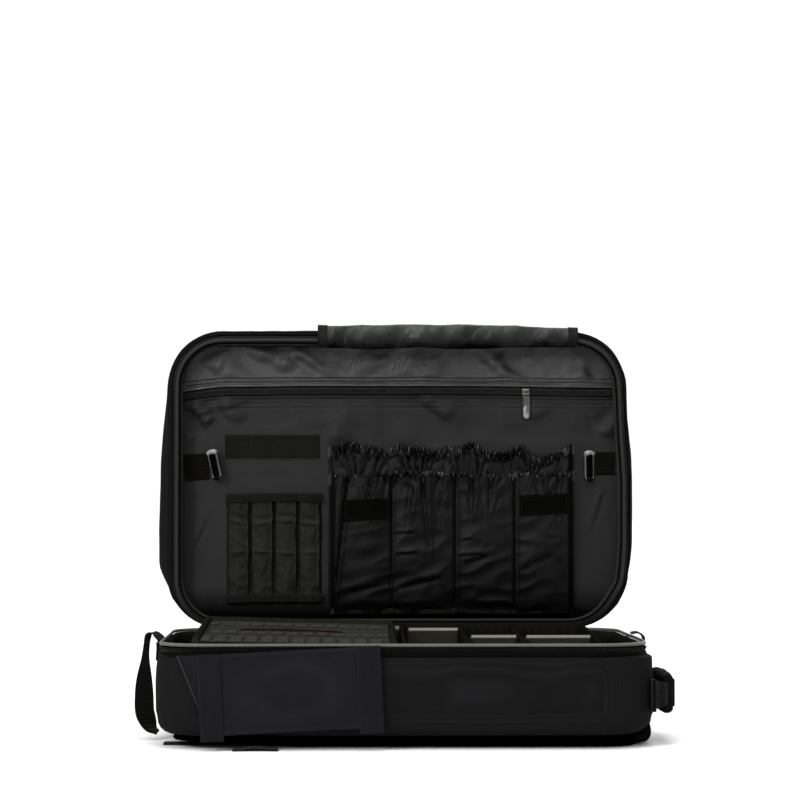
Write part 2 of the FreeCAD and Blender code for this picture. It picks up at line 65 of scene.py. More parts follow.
class Nodes:
    """Wires the node tree of one material; each method returns the socket that it makes."""

    def __init__(self, name):
        self.mat = bpy.data.materials.new(name)
        self.mat.use_nodes = True
        self.tree = self.mat.node_tree
        self.bsdf = self.tree.nodes["Principled BSDF"]
        self.coord = self.node("ShaderNodeTexCoord").outputs["Object"]

    def node(self, kind, **settings):
        n = self.tree.nodes.new(kind)
        for key, value in settings.items():
            if key in n.inputs:
                n.inputs[key].default_value = value
            else:
                setattr(n, key, value)
        return n

    def link(self, a, b):
        self.tree.links.new(a, b)

    def noise(self, scale, detail=2.0, rough=0.55, distortion=0.0):
        n = self.node("ShaderNodeTexNoise", Scale=scale, Detail=detail, Roughness=rough,
                      Distortion=distortion)
        self.link(self.coord, n.inputs["Vector"])
        return n.outputs["Fac"]

    def wave(self, period, axis, distortion=0.0):
        n = self.node("ShaderNodeTexWave", Scale=0.314 / period, Distortion=distortion, bands_direction=axis)
        self.link(self.coord, n.inputs["Vector"])
        return n.outputs["Fac"]

    def math(self, op, a, b=0.5):
        n = self.node("ShaderNodeMath", operation=op)
        for k, value in enumerate((a, b)):
            if isinstance(value, (int, float)):
                n.inputs[k].default_value = value
            else:
                self.link(value, n.inputs[k])
        return n.outputs[0]

    def mix(self, fac, a, b):
        n = self.node("ShaderNodeMix", data_type="RGBA")
        self.link(fac, n.inputs[0])
        for k, value in ((6, a), (7, b)):
            if hasattr(value, "is_linked"):
                self.link(value, n.inputs[k])
            else:
                n.inputs[k].default_value = (*value, 1)
        return n.outputs[2]

    def height(self):
        """Height in the object's frame, used to paint shade that changes with it."""
        split = self.node("ShaderNodeSeparateXYZ")
        self.link(self.coord, split.inputs[0])
        return split.outputs["Z"]

    def bump(self, height, strength, distance, normal=None):
        n = self.node("ShaderNodeBump", Strength=strength, Distance=distance)
        self.link(height, n.inputs["Height"])
        if normal is not None:
            self.link(normal, n.inputs["Normal"])
        return n.outputs["Normal"]

    def ramp(self, value, low, high, out_low, out_high):
        n = self.node("ShaderNodeMapRange")
        n.inputs["From Min"].default_value = low
        n.inputs["From Max"].default_value = high
        n.inputs["To Min"].default_value = out_low
        n.inputs["To Max"].default_value = out_high
        self.link(value, n.inputs["Value"])
        return n.outputs["Result"]

    def finish(self, color, rough, normal, spec, sheen=0.0, metallic=0.0):
        b = self.bsdf
        if hasattr(color, "is_linked"):
            self.link(color, b.inputs["Base Color"])
        else:
            b.inputs["Base Color"].default_value = (*color, 1)
        if isinstance(rough, (int, float)):
            b.inputs["Roughness"].default_value = rough
        else:
            self.link(rough, b.inputs["Roughness"])
        self.link(normal, b.inputs["Normal"])
        b.inputs["Specular IOR Level"].default_value = spec
        b.inputs["Sheen Weight"].default_value = sheen
        b.inputs["Sheen Roughness"].default_value = 0.5
        b.inputs["Metallic"].default_value = metallic
        return self.mat


def shade(color, k):
    """A colour k times as bright."""
    return tuple(c * k for c in color)


def woven(name, color, pitch, depth, rough, spec=0.25, sheen=0.05, crinkle=0.0, wear=0.35, fade=None):
    """Plain woven cloth: two crossing thread waves, fibre noise, slow colour drift and scuffs.

    fade is (low, high, share): painted shade by height; below low, colour and shine are only that share of
    what they are above high.
    """
    m = Nodes(name)
    warp = m.wave(pitch, "X", distortion=0.3)
    weft = m.wave(pitch, "Z", distortion=0.3)
    depthwise = m.wave(pitch, "Y", distortion=0.3)
    cloth = m.math("MULTIPLY", m.math("ADD", warp, weft), m.math("ADD", depthwise, 0.6))
    fibre = m.noise(2600, 3.0)
    drift = m.noise(14, 3.0)
    scuff = m.noise(46, 5.0, 0.7)
    tone = m.mix(drift, shade(color, 0.78), shade(color, 1.2))
    worn = m.ramp(scuff, 0.56, 0.72, 0.0, wear)
    tone = m.mix(worn, tone, shade(color, 1.7))
    tone = m.mix(m.math("MULTIPLY", cloth, 0.16), tone, shade(color, 0.45))
    # painted shade: the colour darkens towards the low end of the piece, standing in for shade under
    # overhangs
    if fade:
        level = m.height()
        tone = m.mix(m.ramp(level, fade[0], fade[1], 0.0, 1.0), shade(color, fade[2]), tone)
    height = m.math("ADD", cloth, m.math("MULTIPLY", fibre, 0.8))
    normal = m.bump(height, depth, pitch * 0.35)
    if crinkle:
        normal = m.bump(m.noise(70, 4.0, 0.6, distortion=0.6), crinkle, 0.0012, normal)
    roughness = m.ramp(fibre, 0.2, 0.8, rough - 0.08, min(1.0, rough + 0.08))
    m.finish(tone, roughness, normal, spec, sheen)
    # painted shade on the shine too
    if fade:
        shine = m.ramp(level, fade[0], fade[1], fade[2] * spec, spec)
        m.link(shine, m.bsdf.inputs["Specular IOR Level"])
    return m.mat


def ribbed(name, color, axis="Z", pitch=0.0042, rough=0.75, spec=0.3):
    """Webbing: ribs one way, fine weft the other."""
    m = Nodes(name)
    ribs = m.wave(pitch, axis)
    weft = m.wave(0.0012, "X" if axis != "X" else "Z", distortion=0.4)
    fibre = m.noise(2200, 3.0)
    tone = m.mix(m.noise(30, 3.0), shade(color, 0.75), shade(color, 1.25))
    tone = m.mix(m.ramp(ribs, 0.0, 0.4, 0.55, 0.0), tone, shade(color, 0.35))
    height = m.math("ADD", m.math("MULTIPLY", ribs, 1.6), m.math("ADD", m.math("MULTIPLY", weft, 0.5), fibre))
    roughness = m.ramp(fibre, 0.2, 0.8, rough - 0.1, rough + 0.1)
    return m.finish(tone, roughness, m.bump(height, 0.7, 0.0006), spec, 0.05)


def coated(name, color, rough, fade):
    """Coated nylon: smooth, slightly glossy, finely crackled, with painted shade towards its low end."""
    m = Nodes(name)
    crease = m.node("ShaderNodeTexVoronoi", Scale=38.0, feature="DISTANCE_TO_EDGE")
    warped = m.node("ShaderNodeMix", data_type="VECTOR")
    warped.inputs[0].default_value = 0.06
    m.link(m.coord, warped.inputs[4])
    swirl = m.node("ShaderNodeTexNoise", Scale=24.0)
    m.link(m.coord, swirl.inputs["Vector"])
    m.link(swirl.outputs["Color"], warped.inputs[5])
    m.link(warped.outputs[1], crease.inputs["Vector"])
    folds = m.ramp(crease.outputs["Distance"], 0.0, 0.12, 0.0, 1.0)
    fine = m.noise(900, 3.0)
    tone = m.mix(m.noise(20, 3.0), shade(color, 0.8), shade(color, 1.2))
    # painted shade: colour and shine drop towards the low hem, along an uneven line
    uneven = m.math("MULTIPLY", m.math("SUBTRACT", m.noise(21, 2.0), 0.5), 0.022)
    level = m.math("ADD", m.height(), uneven)
    tone = m.mix(m.ramp(level, fade[0], fade[1], 0.0, 1.0), shade(color, fade[2]), tone)
    normal = m.bump(folds, 0.06, 0.0008)
    normal = m.bump(fine, 0.12, 0.0003, normal)
    m.finish(tone, m.ramp(m.noise(60, 3.0), 0.3, 0.7, rough - 0.07, rough + 0.1), normal, 0.18)
    m.link(m.ramp(level, fade[0], fade[1], fade[2] * 0.18, 0.26), m.bsdf.inputs["Specular IOR Level"])
    return m.mat


def plain(name, color, rough=0.5, spec=0.4, metallic=0.0, grain=1400.0, depth=0.15):
    """Moulded or metal surface with fine grain and handling marks."""
    m = Nodes(name)
    fine = m.noise(grain, 2.0)
    marks = m.noise(160, 5.0, 0.7)
    tone = m.mix(marks, shade(color, 0.85), shade(color, 1.12))
    roughness = m.ramp(marks, 0.3, 0.7, rough - 0.06, rough + 0.08)
    return m.finish(tone, roughness, m.bump(fine, depth, 0.0003), spec, 0.0, metallic)


def fuzzy(name, color):
    """Hook-and-loop tape: dense tangled loops."""
    m = Nodes(name)
    loops = m.node("ShaderNodeTexVoronoi", Scale=700.0)
    m.link(m.coord, loops.inputs["Vector"])
    tangle = m.noise(1500, 4.0, 0.75, distortion=1.2)
    height = m.math("ADD", loops.outputs["Distance"], tangle)
    tone = m.mix(tangle, shade(color, 0.4), shade(color, 2.2))
    return m.finish(tone, 0.95, m.bump(height, 1.0, 0.0011), 0.0)


BODY = woven("body_cloth", (0.0080, 0.0078, 0.0085), 0.0012, 0.80, 0.75, 0.02, 0.0)
PANEL = woven("panel_cloth", (0.0094, 0.0094, 0.0106), 0.0012, 0.5, 0.75, 0.02, 0.0)
# painted shade: the lining darkens to nearly black along its low edge, where the pockets and rim shade it
LINER = woven("lining_cloth", (0.0056, 0.0056, 0.0058), 0.0009, 0.3, 0.4, 0.14, 0.0, 0.2,
              fade=(0.119, 0.150, 0.06))
# painted light: the upper lining band is the lining cloth made about three times as bright, standing in for
# the light it catches
LINER_BAND_LIT = woven("lining_band_lit_cloth", (0.0172, 0.0172, 0.0186), 0.0009, 0.30, 0.36, 0.36, 0.0, 0.20)
# painted shade: the pocket satin darkens towards the bottom of the pockets
SATIN = woven("satin_cloth", (0.0021, 0.0022, 0.0019), 0.0007, 0.2, 0.45, 0.085, 0.0, 0.25, 0.15,
              (0.12, 0.19, 0.45))
PENS = woven("pen_cloth", (0.0068, 0.0068, 0.0058), 0.0009, 0.30, 0.50, 0.08, 0.0, 0.10)
WEB = ribbed("webbing", (0.0028, 0.0026, 0.0022), "Z", 0.0042, 0.75, 0.004)
WEB_FLAT = ribbed("webbing_across", (0.0072, 0.0072, 0.0084), "X", 0.0012, 0.75, 0.012)
ELASTIC = ribbed("elastic_band", (0.0044, 0.0044, 0.0036), "Z", 0.0013, 0.6, 0.04)
RUFFLE = woven("ruffle_cloth", (0.0028, 0.0031, 0.0028), 0.0009, 0.25, 0.30, 0.26, 0.0, 0.15)
TILE = ribbed("elastic_tiles", (0.0180, 0.0171, 0.0142), "Y", 0.0024, 0.9, 0.004)
# painted shade: the flap's coated nylon goes almost black towards its low hem, standing in for the shade
# below its fold
NYLON = coated("coated_nylon", (0.0150, 0.0170, 0.0147), 0.42, (0.4100, 0.4345, 0.03))
# painted shade: the flap's end bindings darken towards the low hem as well
NYLON_EDGE = woven("nylon_binding", (0.0088, 0.0096, 0.0084), 0.0012, 0.4, 0.6, 0.03,
                   fade=(0.4105, 0.4250, 0.20))
BINDING = woven("binding_tape", (0.0056, 0.0056, 0.005), 0.0014, 0.5, 0.8, 0.016)
# painted highlight: the base rim cord is about six times as bright as the lid's cord, standing in for the
# light grazing its top; the hinge cord uses it too
PIPING = woven("piping_cloth", (0.072, 0.072, 0.067), 0.0008, 0.2, 0.42, 0.24, 0.0, 0.0, 0.2)
# painted shade: the lid's rim cord darkens along its low run
LID_PIPING = woven("lid_piping_cloth", (0.0116, 0.0114, 0.0102), 0.0008, 0.2, 0.5, 0.12, 0.0, 0.0, 0.2,
                   (0.110, 0.160, 0.22))
ZIP = woven("zipper_tape", (0.0014, 0.0014, 0.0012), 0.0010, 0.5, 0.75, 0.006)
WEDGE_CORD = woven("wedge_cord_cloth", (0.0150, 0.0146, 0.0132), 0.0008, 0.2, 0.5, 0.12, 0.0, 0.0, 0.2)
TAPE = woven("zipper_face", (0.006, 0.0062, 0.0052), 0.0010, 0.4, 0.55, 0.08)
ZIP_FACE = woven("main_zipper_face", (0.0034, 0.0034, 0.0030), 0.0010, 0.4, 0.55, 0.04)
PAD = woven("padding_cloth", (0.017, 0.0166, 0.0132), 0.0010, 0.4, 0.9, 0, 0.0)
BOX_PAD = woven("box_cloth", (0.006, 0.0058, 0.0044), 0.0010, 0.4, 0.9, 0, 0.0)
PALLET = woven("pallet_cloth", (0.0100, 0.0097, 0.0080), 0.001, 0.4, 0.9, 0.0, 0.0)
# painted highlight: about ten times as bright as the padding, standing in for the light on the cross
# dividers' top edges; the pallet's stitches use it too
PAD_TOP = woven("padding_binding", (0.184, 0.18, 0.148), 0.0010, 0.4, 0.9, 0.02, 0.0)
TUB = woven("tub_cloth", (0.0072, 0.007, 0.0058), 0.0010, 0.4, 0.9, 0, 0.0)
GROUND = woven("pallet_ground", (0.0090, 0.0006, 0.0005), 0.001, 0.3, 0.9, 0.0)
BED = woven("pallet_bed", (0.0016, 0.0016, 0.0013), 0.0012, 0.4, 0.9, 0.0)
GRIP = woven("grip_cloth", (0.0040, 0.0040, 0.0040), 0.0012, 0.5, 0.75, 0.016, 0.0)
GRIP_WEB = ribbed("grip_webbing", (0.0018, 0.0018, 0.0022), "Z", 0.0042, 0.75, 0.004)
MESH_PAD = woven("spacer_mesh", (0.0008, 0.0008, 0.0008), 0.0028, 0.9, 0.9, 0, 0.0)
THREAD = plain("thread", (0.012, 0.012, 0.0132), 0.6, 0.04)
DARK_THREAD = plain("dark_thread", (0.0012, 0.0012, 0.0012), 0.8, 0)
FUZZ = fuzzy("hook_and_loop", (0.0018, 0.0018, 0.0016))
METAL = plain("nickel", (0.22, 0.23, 0.22), 0.30, 0.5, 1.0, 900.0, 0.05)
# painted highlight: a nickel nearly four times as bright as the rings' own, for the bar along each ring's top
RING_TOP_HIGHLIGHT = plain("nickel_painted_highlight", (0.34, 0.35, 0.34), 0.35, 1, 0.2, 900.0, 0.05)
RING = plain("dark_nickel", (0.09, 0.094, 0.09), 0.25, 0.5, 1.0, 900.0, 0.05)
GUN = plain("gunmetal", (0.10, 0.107, 0.10), 0.25, 0.5, 1.0, 900.0, 0.05)
PLASTIC = plain("moulded_plastic", (0.0024, 0.0024, 0.0024), 0.45, 0.06)
INK = plain("black_plastic", (0.0008, 0.0008, 0.0008), 0.6, 0.02)


# ---------------------------------------------------------------- mesh building

class Shape:
    """Vertices and faces gathered before they become one object."""

    def __init__(self):
        self.verts, self.faces, self.mats = [], [], []

    def add(self, verts, faces, mat=0):
        base = len(self.verts)
        self.verts.extend(tuple(map(float, v)) for v in verts)
        self.faces.extend([i + base for i in f] for f in faces)
        self.mats.extend([mat] * len(faces))

    def grid(self, points, wrap_u=False, wrap_v=False, mat=0):
        """Quads over an array of points (rows, columns, 3)."""
        rows, cols = points.shape[:2]
        faces = []
        for i in range(rows if wrap_u else rows - 1):
            for j in range(cols if wrap_v else cols - 1):
                a, b = i * cols + j, i * cols + (j + 1) % cols
                c, d = ((i + 1) % rows) * cols + (j + 1) % cols, ((i + 1) % rows) * cols + j
                faces.append([a, b, c, d])
        self.add(points.reshape(-1, 3), faces, mat)

    def sheet(self, front, back, mat=0, wrap=False):
        """Closed cloth between two arrays of points; wrap joins the first and last columns."""
        rows, cols = front.shape[:2]
        n = rows * cols
        faces = []
        for i in range(rows - 1):
            for j in range(cols if wrap else cols - 1):
                k = (j + 1) % cols
                a, b, c, d = i * cols + j, i * cols + k, (i + 1) * cols + k, (i + 1) * cols + j
                faces += [[a, b, c, d], [n + a, n + d, n + c, n + b]]
        for j in range(cols if wrap else cols - 1):
            k = (j + 1) % cols
            top = (rows - 1) * cols
            faces += [[j, n + j, n + k, k], [top + j, top + k, n + top + k, n + top + j]]
        if not wrap:
            for i in range(rows - 1):
                a, d = i * cols, (i + 1) * cols
                b, c = a + cols - 1, d + cols - 1
                faces += [[a, d, n + d, n + a], [b, n + b, n + c, c]]
        self.add(np.concatenate([front.reshape(-1, 3), back.reshape(-1, 3)]), faces, mat)

    def loft(self, rings, mat=0):
        """Closed body through rings of equal count; both ends get a flat cap."""
        rings = np.asarray(rings)
        rows, cols = rings.shape[:2]
        base = len(self.verts)
        self.grid(rings, wrap_v=True, mat=mat)
        self.faces.append([base + j for j in range(cols)][::-1])
        self.faces.append([base + (rows - 1) * cols + j for j in range(cols)])
        self.mats += [mat, mat]

    def tube(self, path, radius, sides=8, closed=False, mat=0, flat=1.0):
        """Round or oval bar along a path."""
        path = np.asarray(path, float)
        count = len(path)
        along = np.roll(path, -1, 0) - np.roll(path, 1, 0)
        if not closed:
            along[0], along[-1] = path[1] - path[0], path[-1] - path[-2]
        along /= np.linalg.norm(along, axis=1)[:, None] + 1e-12
        side = np.cross(along[0], (0.0, 0.0, 1.0))
        if np.linalg.norm(side) < 0.1:
            side = np.cross(along[0], (0.0, 1.0, 0.0))
        rings = []
        for k in range(count):
            side = side - along[k] * side.dot(along[k])
            side /= np.linalg.norm(side)
            up = np.cross(side, along[k])
            turn = np.arange(sides) * 2 * math.pi / sides
            r = radius[k] if hasattr(radius, "__len__") else radius
            rings.append(path[k] + r * (np.outer(np.cos(turn), side) + flat * np.outer(np.sin(turn), up)))
        rings = np.array(rings)
        if closed:
            self.grid(rings, wrap_u=True, wrap_v=True, mat=mat)
        else:
            self.loft(rings, mat)

    def stitches(self, path, length, gap, radius, mat=0):
        """A run of thread stitches along a polyline."""
        path = np.asarray(path, float)
        steps = np.linalg.norm(np.diff(path, axis=0), axis=1)
        reach = np.concatenate([[0], np.cumsum(steps)])
        total = reach[-1]
        at = gap / 2
        while at + length < total:
            a, b = [np.array([np.interp(s, reach, path[:, k]) for k in range(3)]) for s in (at, at + length)]
            d = (b - a) / np.linalg.norm(b - a)
            side = np.cross(d, (0.31, -0.8, 0.52))
            side /= np.linalg.norm(side)
            up = np.cross(side, d)
            m = (a + b) / 2
            ring = [m + radius * s for s in (side, up, -side, -up)]
            self.add([a, *ring, b], [[0, 2, 1], [0, 3, 2], [0, 4, 3], [0, 1, 4],
                                     [5, 1, 2], [5, 2, 3], [5, 3, 4], [5, 4, 1]], mat)
            at += length + gap

    def stitch_chain(self, points, count, length, gap, radius, mat):
        """Stitches along the straight runs from point to point."""
        for a, b in zip(points, points[1:]):
            self.stitches(np.linspace(a, b, count), length, gap, radius, mat)

    def make(self, name, body, slot, mats, replaces=(), angle=50):
        """Turns the shape into a piece that rides on a body and may replace CAD nodes."""
        mesh = bpy.data.meshes.new(name)
        mesh.from_pydata(self.verts, [], self.faces)
        mats = mats if isinstance(mats, (list, tuple)) else [mats]
        for m in mats:
            mesh.materials.append(m)
        mesh.polygons.foreach_set("material_index", self.mats)
        mesh.validate()
        obj = bpy.data.objects.new(name, mesh)
        bpy.context.collection.objects.link(obj)
        tidy_normals(mesh)
        mesh.polygons.foreach_set("use_smooth", [True] * len(mesh.polygons))
        mesh.set_sharp_from_angle(angle=math.radians(angle))
        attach(obj, body)
        if replaces:
            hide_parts(*replaces)
        return obj


def tidy_normals(mesh):
    """Turns all faces outwards."""
    b = bmesh.new()
    b.from_mesh(mesh)
    bmesh.ops.recalc_face_normals(b, faces=b.faces)
    b.to_mesh(mesh)
    b.free()


def field(x0, x1, cols, z0, z1, rows):
    """Two arrays of rows by columns: one runs along the columns, the other along the rows."""
    x = np.linspace(x0, x1, cols)[None, :] * np.ones((rows, 1))
    z = np.linspace(z0, z1, rows)[:, None] * np.ones((1, cols))
    return x, z


def soft(x, low, high):
    """Smooth 0 to 1 between two values."""
    t = np.clip((np.asarray(x, float) - low) / (high - low), 0, 1)
    return t * t * (3 - 2 * t)


def wobble(x, y, z, scale, seed=0.0):
    """Smooth noise about zero, at a size in metres."""
    return noise.noise(Vector((x / scale + seed, y / scale - seed, z / scale + 0.37 * seed)))


def wobble_grid(a, b, scale, seed=0.0):
    """Smooth noise over two arrays."""
    pairs = zip(a.ravel(), b.ravel())
    flat = [noise.noise(Vector((p / scale + seed, q / scale - seed, seed))) for p, q in pairs]
    return np.array(flat).reshape(a.shape)


def ridge_grid(a, b, scale, seed=0.0):
    """Noise with sharp creases."""
    return 1 - 2 * np.abs(wobble_grid(a, b, scale, seed)) * 1.4


def fold(u, w, start, end, width, amount):
    """A crease from start to end: a valley with a raised lip beside it, fading over a quarter at each end."""
    taper = 0.25
    (ua, wa), (ub, wb) = start, end
    length = math.hypot(ub - ua, wb - wa)
    du, dw = (ub - ua) / length, (wb - wa) / length
    along = ((u - ua) * du + (w - wa) * dw) / length
    across = (u - ua) * -dw + (w - wa) * du
    mask = soft(along, -0.02, taper) * (1 - soft(along, 1 - taper, 1.02))
    s = across / width
    return amount * mask * (1.1 * np.exp(-((s - 1.1) ** 2)) - np.exp(-(s ** 2) * 2.2))


# ---------------------------------------------------------------- rim outline

def outline(x, y, r, step=0.006):
    """Points and outward normals round a rectangle with round corners."""
    points, normals = [], []
    corners = [(x[1] - r, y[0] + r, -90), (x[1] - r, y[1] - r, 0),
               (x[0] + r, y[1] - r, 90), (x[0] + r, y[0] + r, 180)]
    for k, (cx, cy, start) in enumerate(corners):
        arc = max(5, int(r * math.pi / 2 / step))
        for i in range(arc + 1):
            a = math.radians(start + 90 * i / arc)
            points.append((cx + r * math.cos(a), cy + r * math.sin(a)))
            normals.append((math.cos(a), math.sin(a)))
        nx, ny, _ = corners[(k + 1) % 4]
        a = math.radians(start + 90)
        end = (nx + r * math.cos(a), ny + r * math.sin(a))
        gap = math.dist(points[-1], end)
        count = int(gap / step)
        here = points[-1]
        for i in range(1, count):
            t = i / count
            points.append((here[0] + (end[0] - here[0]) * t, here[1] + (end[1] - here[1]) * t))
            normals.append((math.cos(a), math.sin(a)))
    return np.array(points), np.array(normals)


RIM_P, RIM_N = outline(RIM_X, RIM_Y, RIM_R)
SPREAD = 0.0062  # how far the open base rim is spread to the right


def pushed(points, normals, offset):
    """Points moved along their normals; offset is one number or one for each point."""
    return points + normals * np.reshape(offset, (-1, 1))


def base_ring(offset, z, points=RIM_P, normals=RIM_N):
    """Ring round the base at a height; offset may vary round the rim. The open rim spreads a little."""
    p = pushed(points, normals, offset)
    spread = SPREAD * soft(z, 0.06, RIM_Z) * soft(points[:, 0], 0.02, RIM_X[1])
    spread = spread * (1 - soft(points[:, 1], -0.10, 0.08))
    p = p + np.column_stack([spread, np.zeros(len(p))])
    return np.column_stack([p, np.full(len(p), z)])


# bulge of the lid's rim to the right at each height
SPREAD_Z = (0.130, 0.140, 0.156, 0.178, 0.200, 0.266, 0.310, 0.354, 0.377, 0.420)
SPREAD_X = (0.0, 0.0015, 0.0065, 0.0088, 0.0099, 0.0099, 0.0069, 0.0050, 0.0040, 0.0030)


def lid_spread(x, z):
    """How far the open lid's rim bulges to the right of its plan, at a width from the middle and a height."""
    return np.interp(z, SPREAD_Z, SPREAD_X) * soft(x, 0.13, 0.225)


def lid_ring(offset, depth, points=RIM_P, normals=RIM_N, spread=1.0):
    """Ring round the open lid at a depth behind its rim plane."""
    p = pushed(points, normals, offset)
    z = LID_Z + RIM_Y[1] - p[:, 1]
    x = p[:, 0] + spread * lid_spread(points[:, 0] - MID_X, LID_Z + RIM_Y[1] - points[:, 1])
    return np.column_stack([x, np.full(len(p), LID_Y + depth), z])


def closing(ring, centre, shrinks):
    """Rings that close a flat end: the ring shrunk towards a centre, all at its own height."""
    return [np.column_stack([centre[:2] + (ring[:, :2] - centre[:2]) * share, np.full(len(ring), ring[0, 2])])
            for share in shrinks]


def side_mix(normals, left, right, front, hinge):
    """A different number on each side of the outline, blended round the corners."""
    nx, ny = normals[:, 0], normals[:, 1]
    return nx ** 2 * np.where(nx < 0, left, right) + ny ** 2 * np.where(ny < 0, front, hinge)


def stops(a, b, r, step):
    """Grid lines between two limits, closer together at the rounded ends."""
    r = min(r, (b - a) / 2)
    ends = r * np.array([0, 0.12, 0.35, 0.65, 1.0])
    count = max(1, int(round((b - a - 2 * r) / step)))
    middle = np.linspace(a + r, b - r, count + 1)
    line = np.concatenate([a + ends, middle[1:-1], b - ends[::-1]])
    return np.unique(np.round(line, 7))


def pad_box(shape, lo, hi, r, step, push=None, mat=0):
    """Closed soft-edged block; push(points, normals) moves its skin."""
    lo, hi = np.array(lo, float), np.array(hi, float)
    lines = [stops(lo[k], hi[k], r, step) for k in range(3)]
    index, verts, faces = {}, [], []

    def vertex(key):
        if key not in index:
            index[key] = len(verts)
            verts.append([lines[k][key[k]] for k in range(3)])
        return index[key]

    for axis in range(3):
        u, v = [k for k in range(3) if k != axis]
        for end in (0, len(lines[axis]) - 1):
            for i in range(len(lines[u]) - 1):
                for j in range(len(lines[v]) - 1):
                    quad = []
                    for di, dj in ((0, 0), (1, 0), (1, 1), (0, 1)):
                        key = [0, 0, 0]
                        key[axis], key[u], key[v] = end, i + di, j + dj
                        quad.append(vertex(tuple(key)))
                    faces.append(quad)
    p = np.array(verts)
    inner = np.clip(p, lo + np.minimum(r, (hi - lo) / 2), hi - np.minimum(r, (hi - lo) / 2))
    d = p - inner
    length = np.linalg.norm(d, axis=1)[:, None] + 1e-12
    n = d / length
    p = inner + n * min(r, (hi - lo).min() / 2)
    if push:
        p = push(p, n)
    shape.add(p, faces, mat)


def ribbon(shape, path, across, width, thick, mat=0, ribs=0, cells=10):
    """Flat webbing along a path; across may turn along the way."""
    path, across = np.asarray(path, float), np.asarray(across, float)
    if across.ndim == 1:
        across = np.tile(across, (len(path), 1))
    along = np.gradient(path, axis=0)
    along /= np.linalg.norm(along, axis=1)[:, None]
    across = across - along * (along * across).sum(1)[:, None]
    across /= np.linalg.norm(across, axis=1)[:, None]
    normal = np.cross(along, across)
    u = np.linspace(-1, 1, cells + 1)
    edge = thick / 2 * np.sqrt(np.clip(1 - np.abs(u) ** 14, 0.02, 1))
    if ribs:
        edge = edge * (1 - 0.10 * (0.5 + 0.5 * np.cos(u * math.pi * ribs)))
    width = np.asarray(width) * np.ones(len(path))
    middle = path[:, None] + across[:, None] * (u[None, :] * width[:, None] / 2)[..., None]
    lift = normal[:, None] * edge[None, :, None]
    shape.sheet(middle + lift, middle - lift, mat)


def smooth_path(points, count):
    """Catmull-Rom curve through points of any width."""
    p = np.asarray(points, float)
    p = np.vstack([2 * p[0] - p[1], p, 2 * p[-1] - p[-2]])
    out = []
    spans = len(p) - 3
    for t in np.linspace(0, spans - 1e-9, count):
        k = int(t)
        f = t - k
        a, b, c, d = p[k:k + 4]
        out.append(0.5 * (2 * b + (c - a) * f + (2 * a - 5 * b + 4 * c - d) * f ** 2
                          + (3 * b - a - 3 * c + d) * f ** 3))
    return np.array(out)


def settle(points, pins, grow, bend, frames, cap, rest=None):
    """Runs cloth over a grid of points and returns it with ripples; grow or a rest grid makes it fuller.

    There is no gravity and no collision, and no point moves further than cap from where it started.
    """
    rows, cols = points.shape[:2]
    shape = Shape()
    shape.grid(points)
    mesh = bpy.data.meshes.new("settling")
    mesh.from_pydata(shape.verts, [], shape.faces)
    obj = bpy.data.objects.new("settling", mesh)
    bpy.context.collection.objects.link(obj)
    group = obj.vertex_groups.new(name="pin")
    for k, w in enumerate(np.asarray(pins).ravel()):
        if w > 0:
            group.add([k], float(w), "REPLACE")
    if rest is not None:
        obj.shape_key_add(name="placed")
        key = obj.shape_key_add(name="cut")
        key.data.foreach_set("co", rest.ravel())
        key.value = 0
    cloth = obj.modifiers.new("cloth", "CLOTH")
    s = cloth.settings
    if rest is not None:
        s.rest_shape_key = key
    s.quality = 6
    s.mass = 0.15
    s.tension_stiffness = s.compression_stiffness = 25
    s.shear_stiffness = 12
    s.bending_stiffness = bend
    s.air_damping = 3
    s.vertex_group_mass = "pin"
    s.pin_stiffness = 8
    s.shrink_min = -grow
    s.effector_weights.gravity = 0
    cloth.collision_settings.use_collision = False
    cloth.point_cache.frame_end = frames
    scene = bpy.context.scene
    for f in range(1, frames + 1):
        scene.frame_set(f)
    graph = bpy.context.evaluated_depsgraph_get()
    done = obj.evaluated_get(graph)
    co = np.zeros(rows * cols * 3)
    done.data.vertices.foreach_get("co", co)
    bpy.data.objects.remove(obj)
    bpy.data.meshes.remove(mesh)
    scene.frame_set(1)
    move = co.reshape(points.shape) - points
    length = np.linalg.norm(move, axis=-1, keepdims=True) + 1e-9
    return points + move / length * cap * np.tanh(length / cap)


def on_lid(x, z, depth):
    """Points on the open lid: width from its middle, height, depth behind its rim plane."""
    x, z, depth = np.broadcast_arrays(np.asarray(x, float), z, depth)
    return np.stack([MID_X + x, LID_Y + depth, z], axis=-1)


def lid_half(z, inset):
    """Half width of the lid's hollow at a height."""
    w = (RIM_X[1] - RIM_X[0]) / 2 - inset
    r = RIM_R - inset
    low, high = LID_Z + inset, LID_Z + RIM_Y[1] - RIM_Y[0] - inset
    near = np.clip(np.minimum(z - low, high - z), 0, r)
    return w - r + np.sqrt(np.maximum(r * r - (r - near) ** 2, 0))


def lid_sheet(x, z, depth, thick):
    """Front and back arrays of a cloth facing out of the lid."""
    front = on_lid(x, z, depth)
    back = front.copy()
    back[..., 1] += thick
    return front, back


# ---------------------------------------------------------------- lid lining

ZIP_Z = (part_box("lining_lower_panel")[1].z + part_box("lining_upper_band")[0].z) / 2


def droop(x, z):
    """The pocket zipper is pulled down towards its two ends."""
    pull_down = 0.0010 * soft(-x, 0.10, 0.18) + 0.0062 * soft(-x, 0.180, 0.244) ** 1.4
    pull_down = pull_down + 0.0020 * soft(x, 0.08, 0.235)
    return -pull_down * np.exp(-(np.abs(z - ZIP_Z) / 0.026) ** 2)


def folds(x, z, table):
    """Several creases added up, each as (start, end, width, amount)."""
    total = np.zeros(np.broadcast(x, z).shape)
    for start, end, width, amount in table:
        total = total + fold(x, z, start, end, width, amount)
    return total


def lift_off(w):
    """Keeps wrinkles from sinking into the board behind the lining."""
    return 0.0010 * np.log1p(np.exp((w + 0.0010) / 0.0010)) - 0.0010


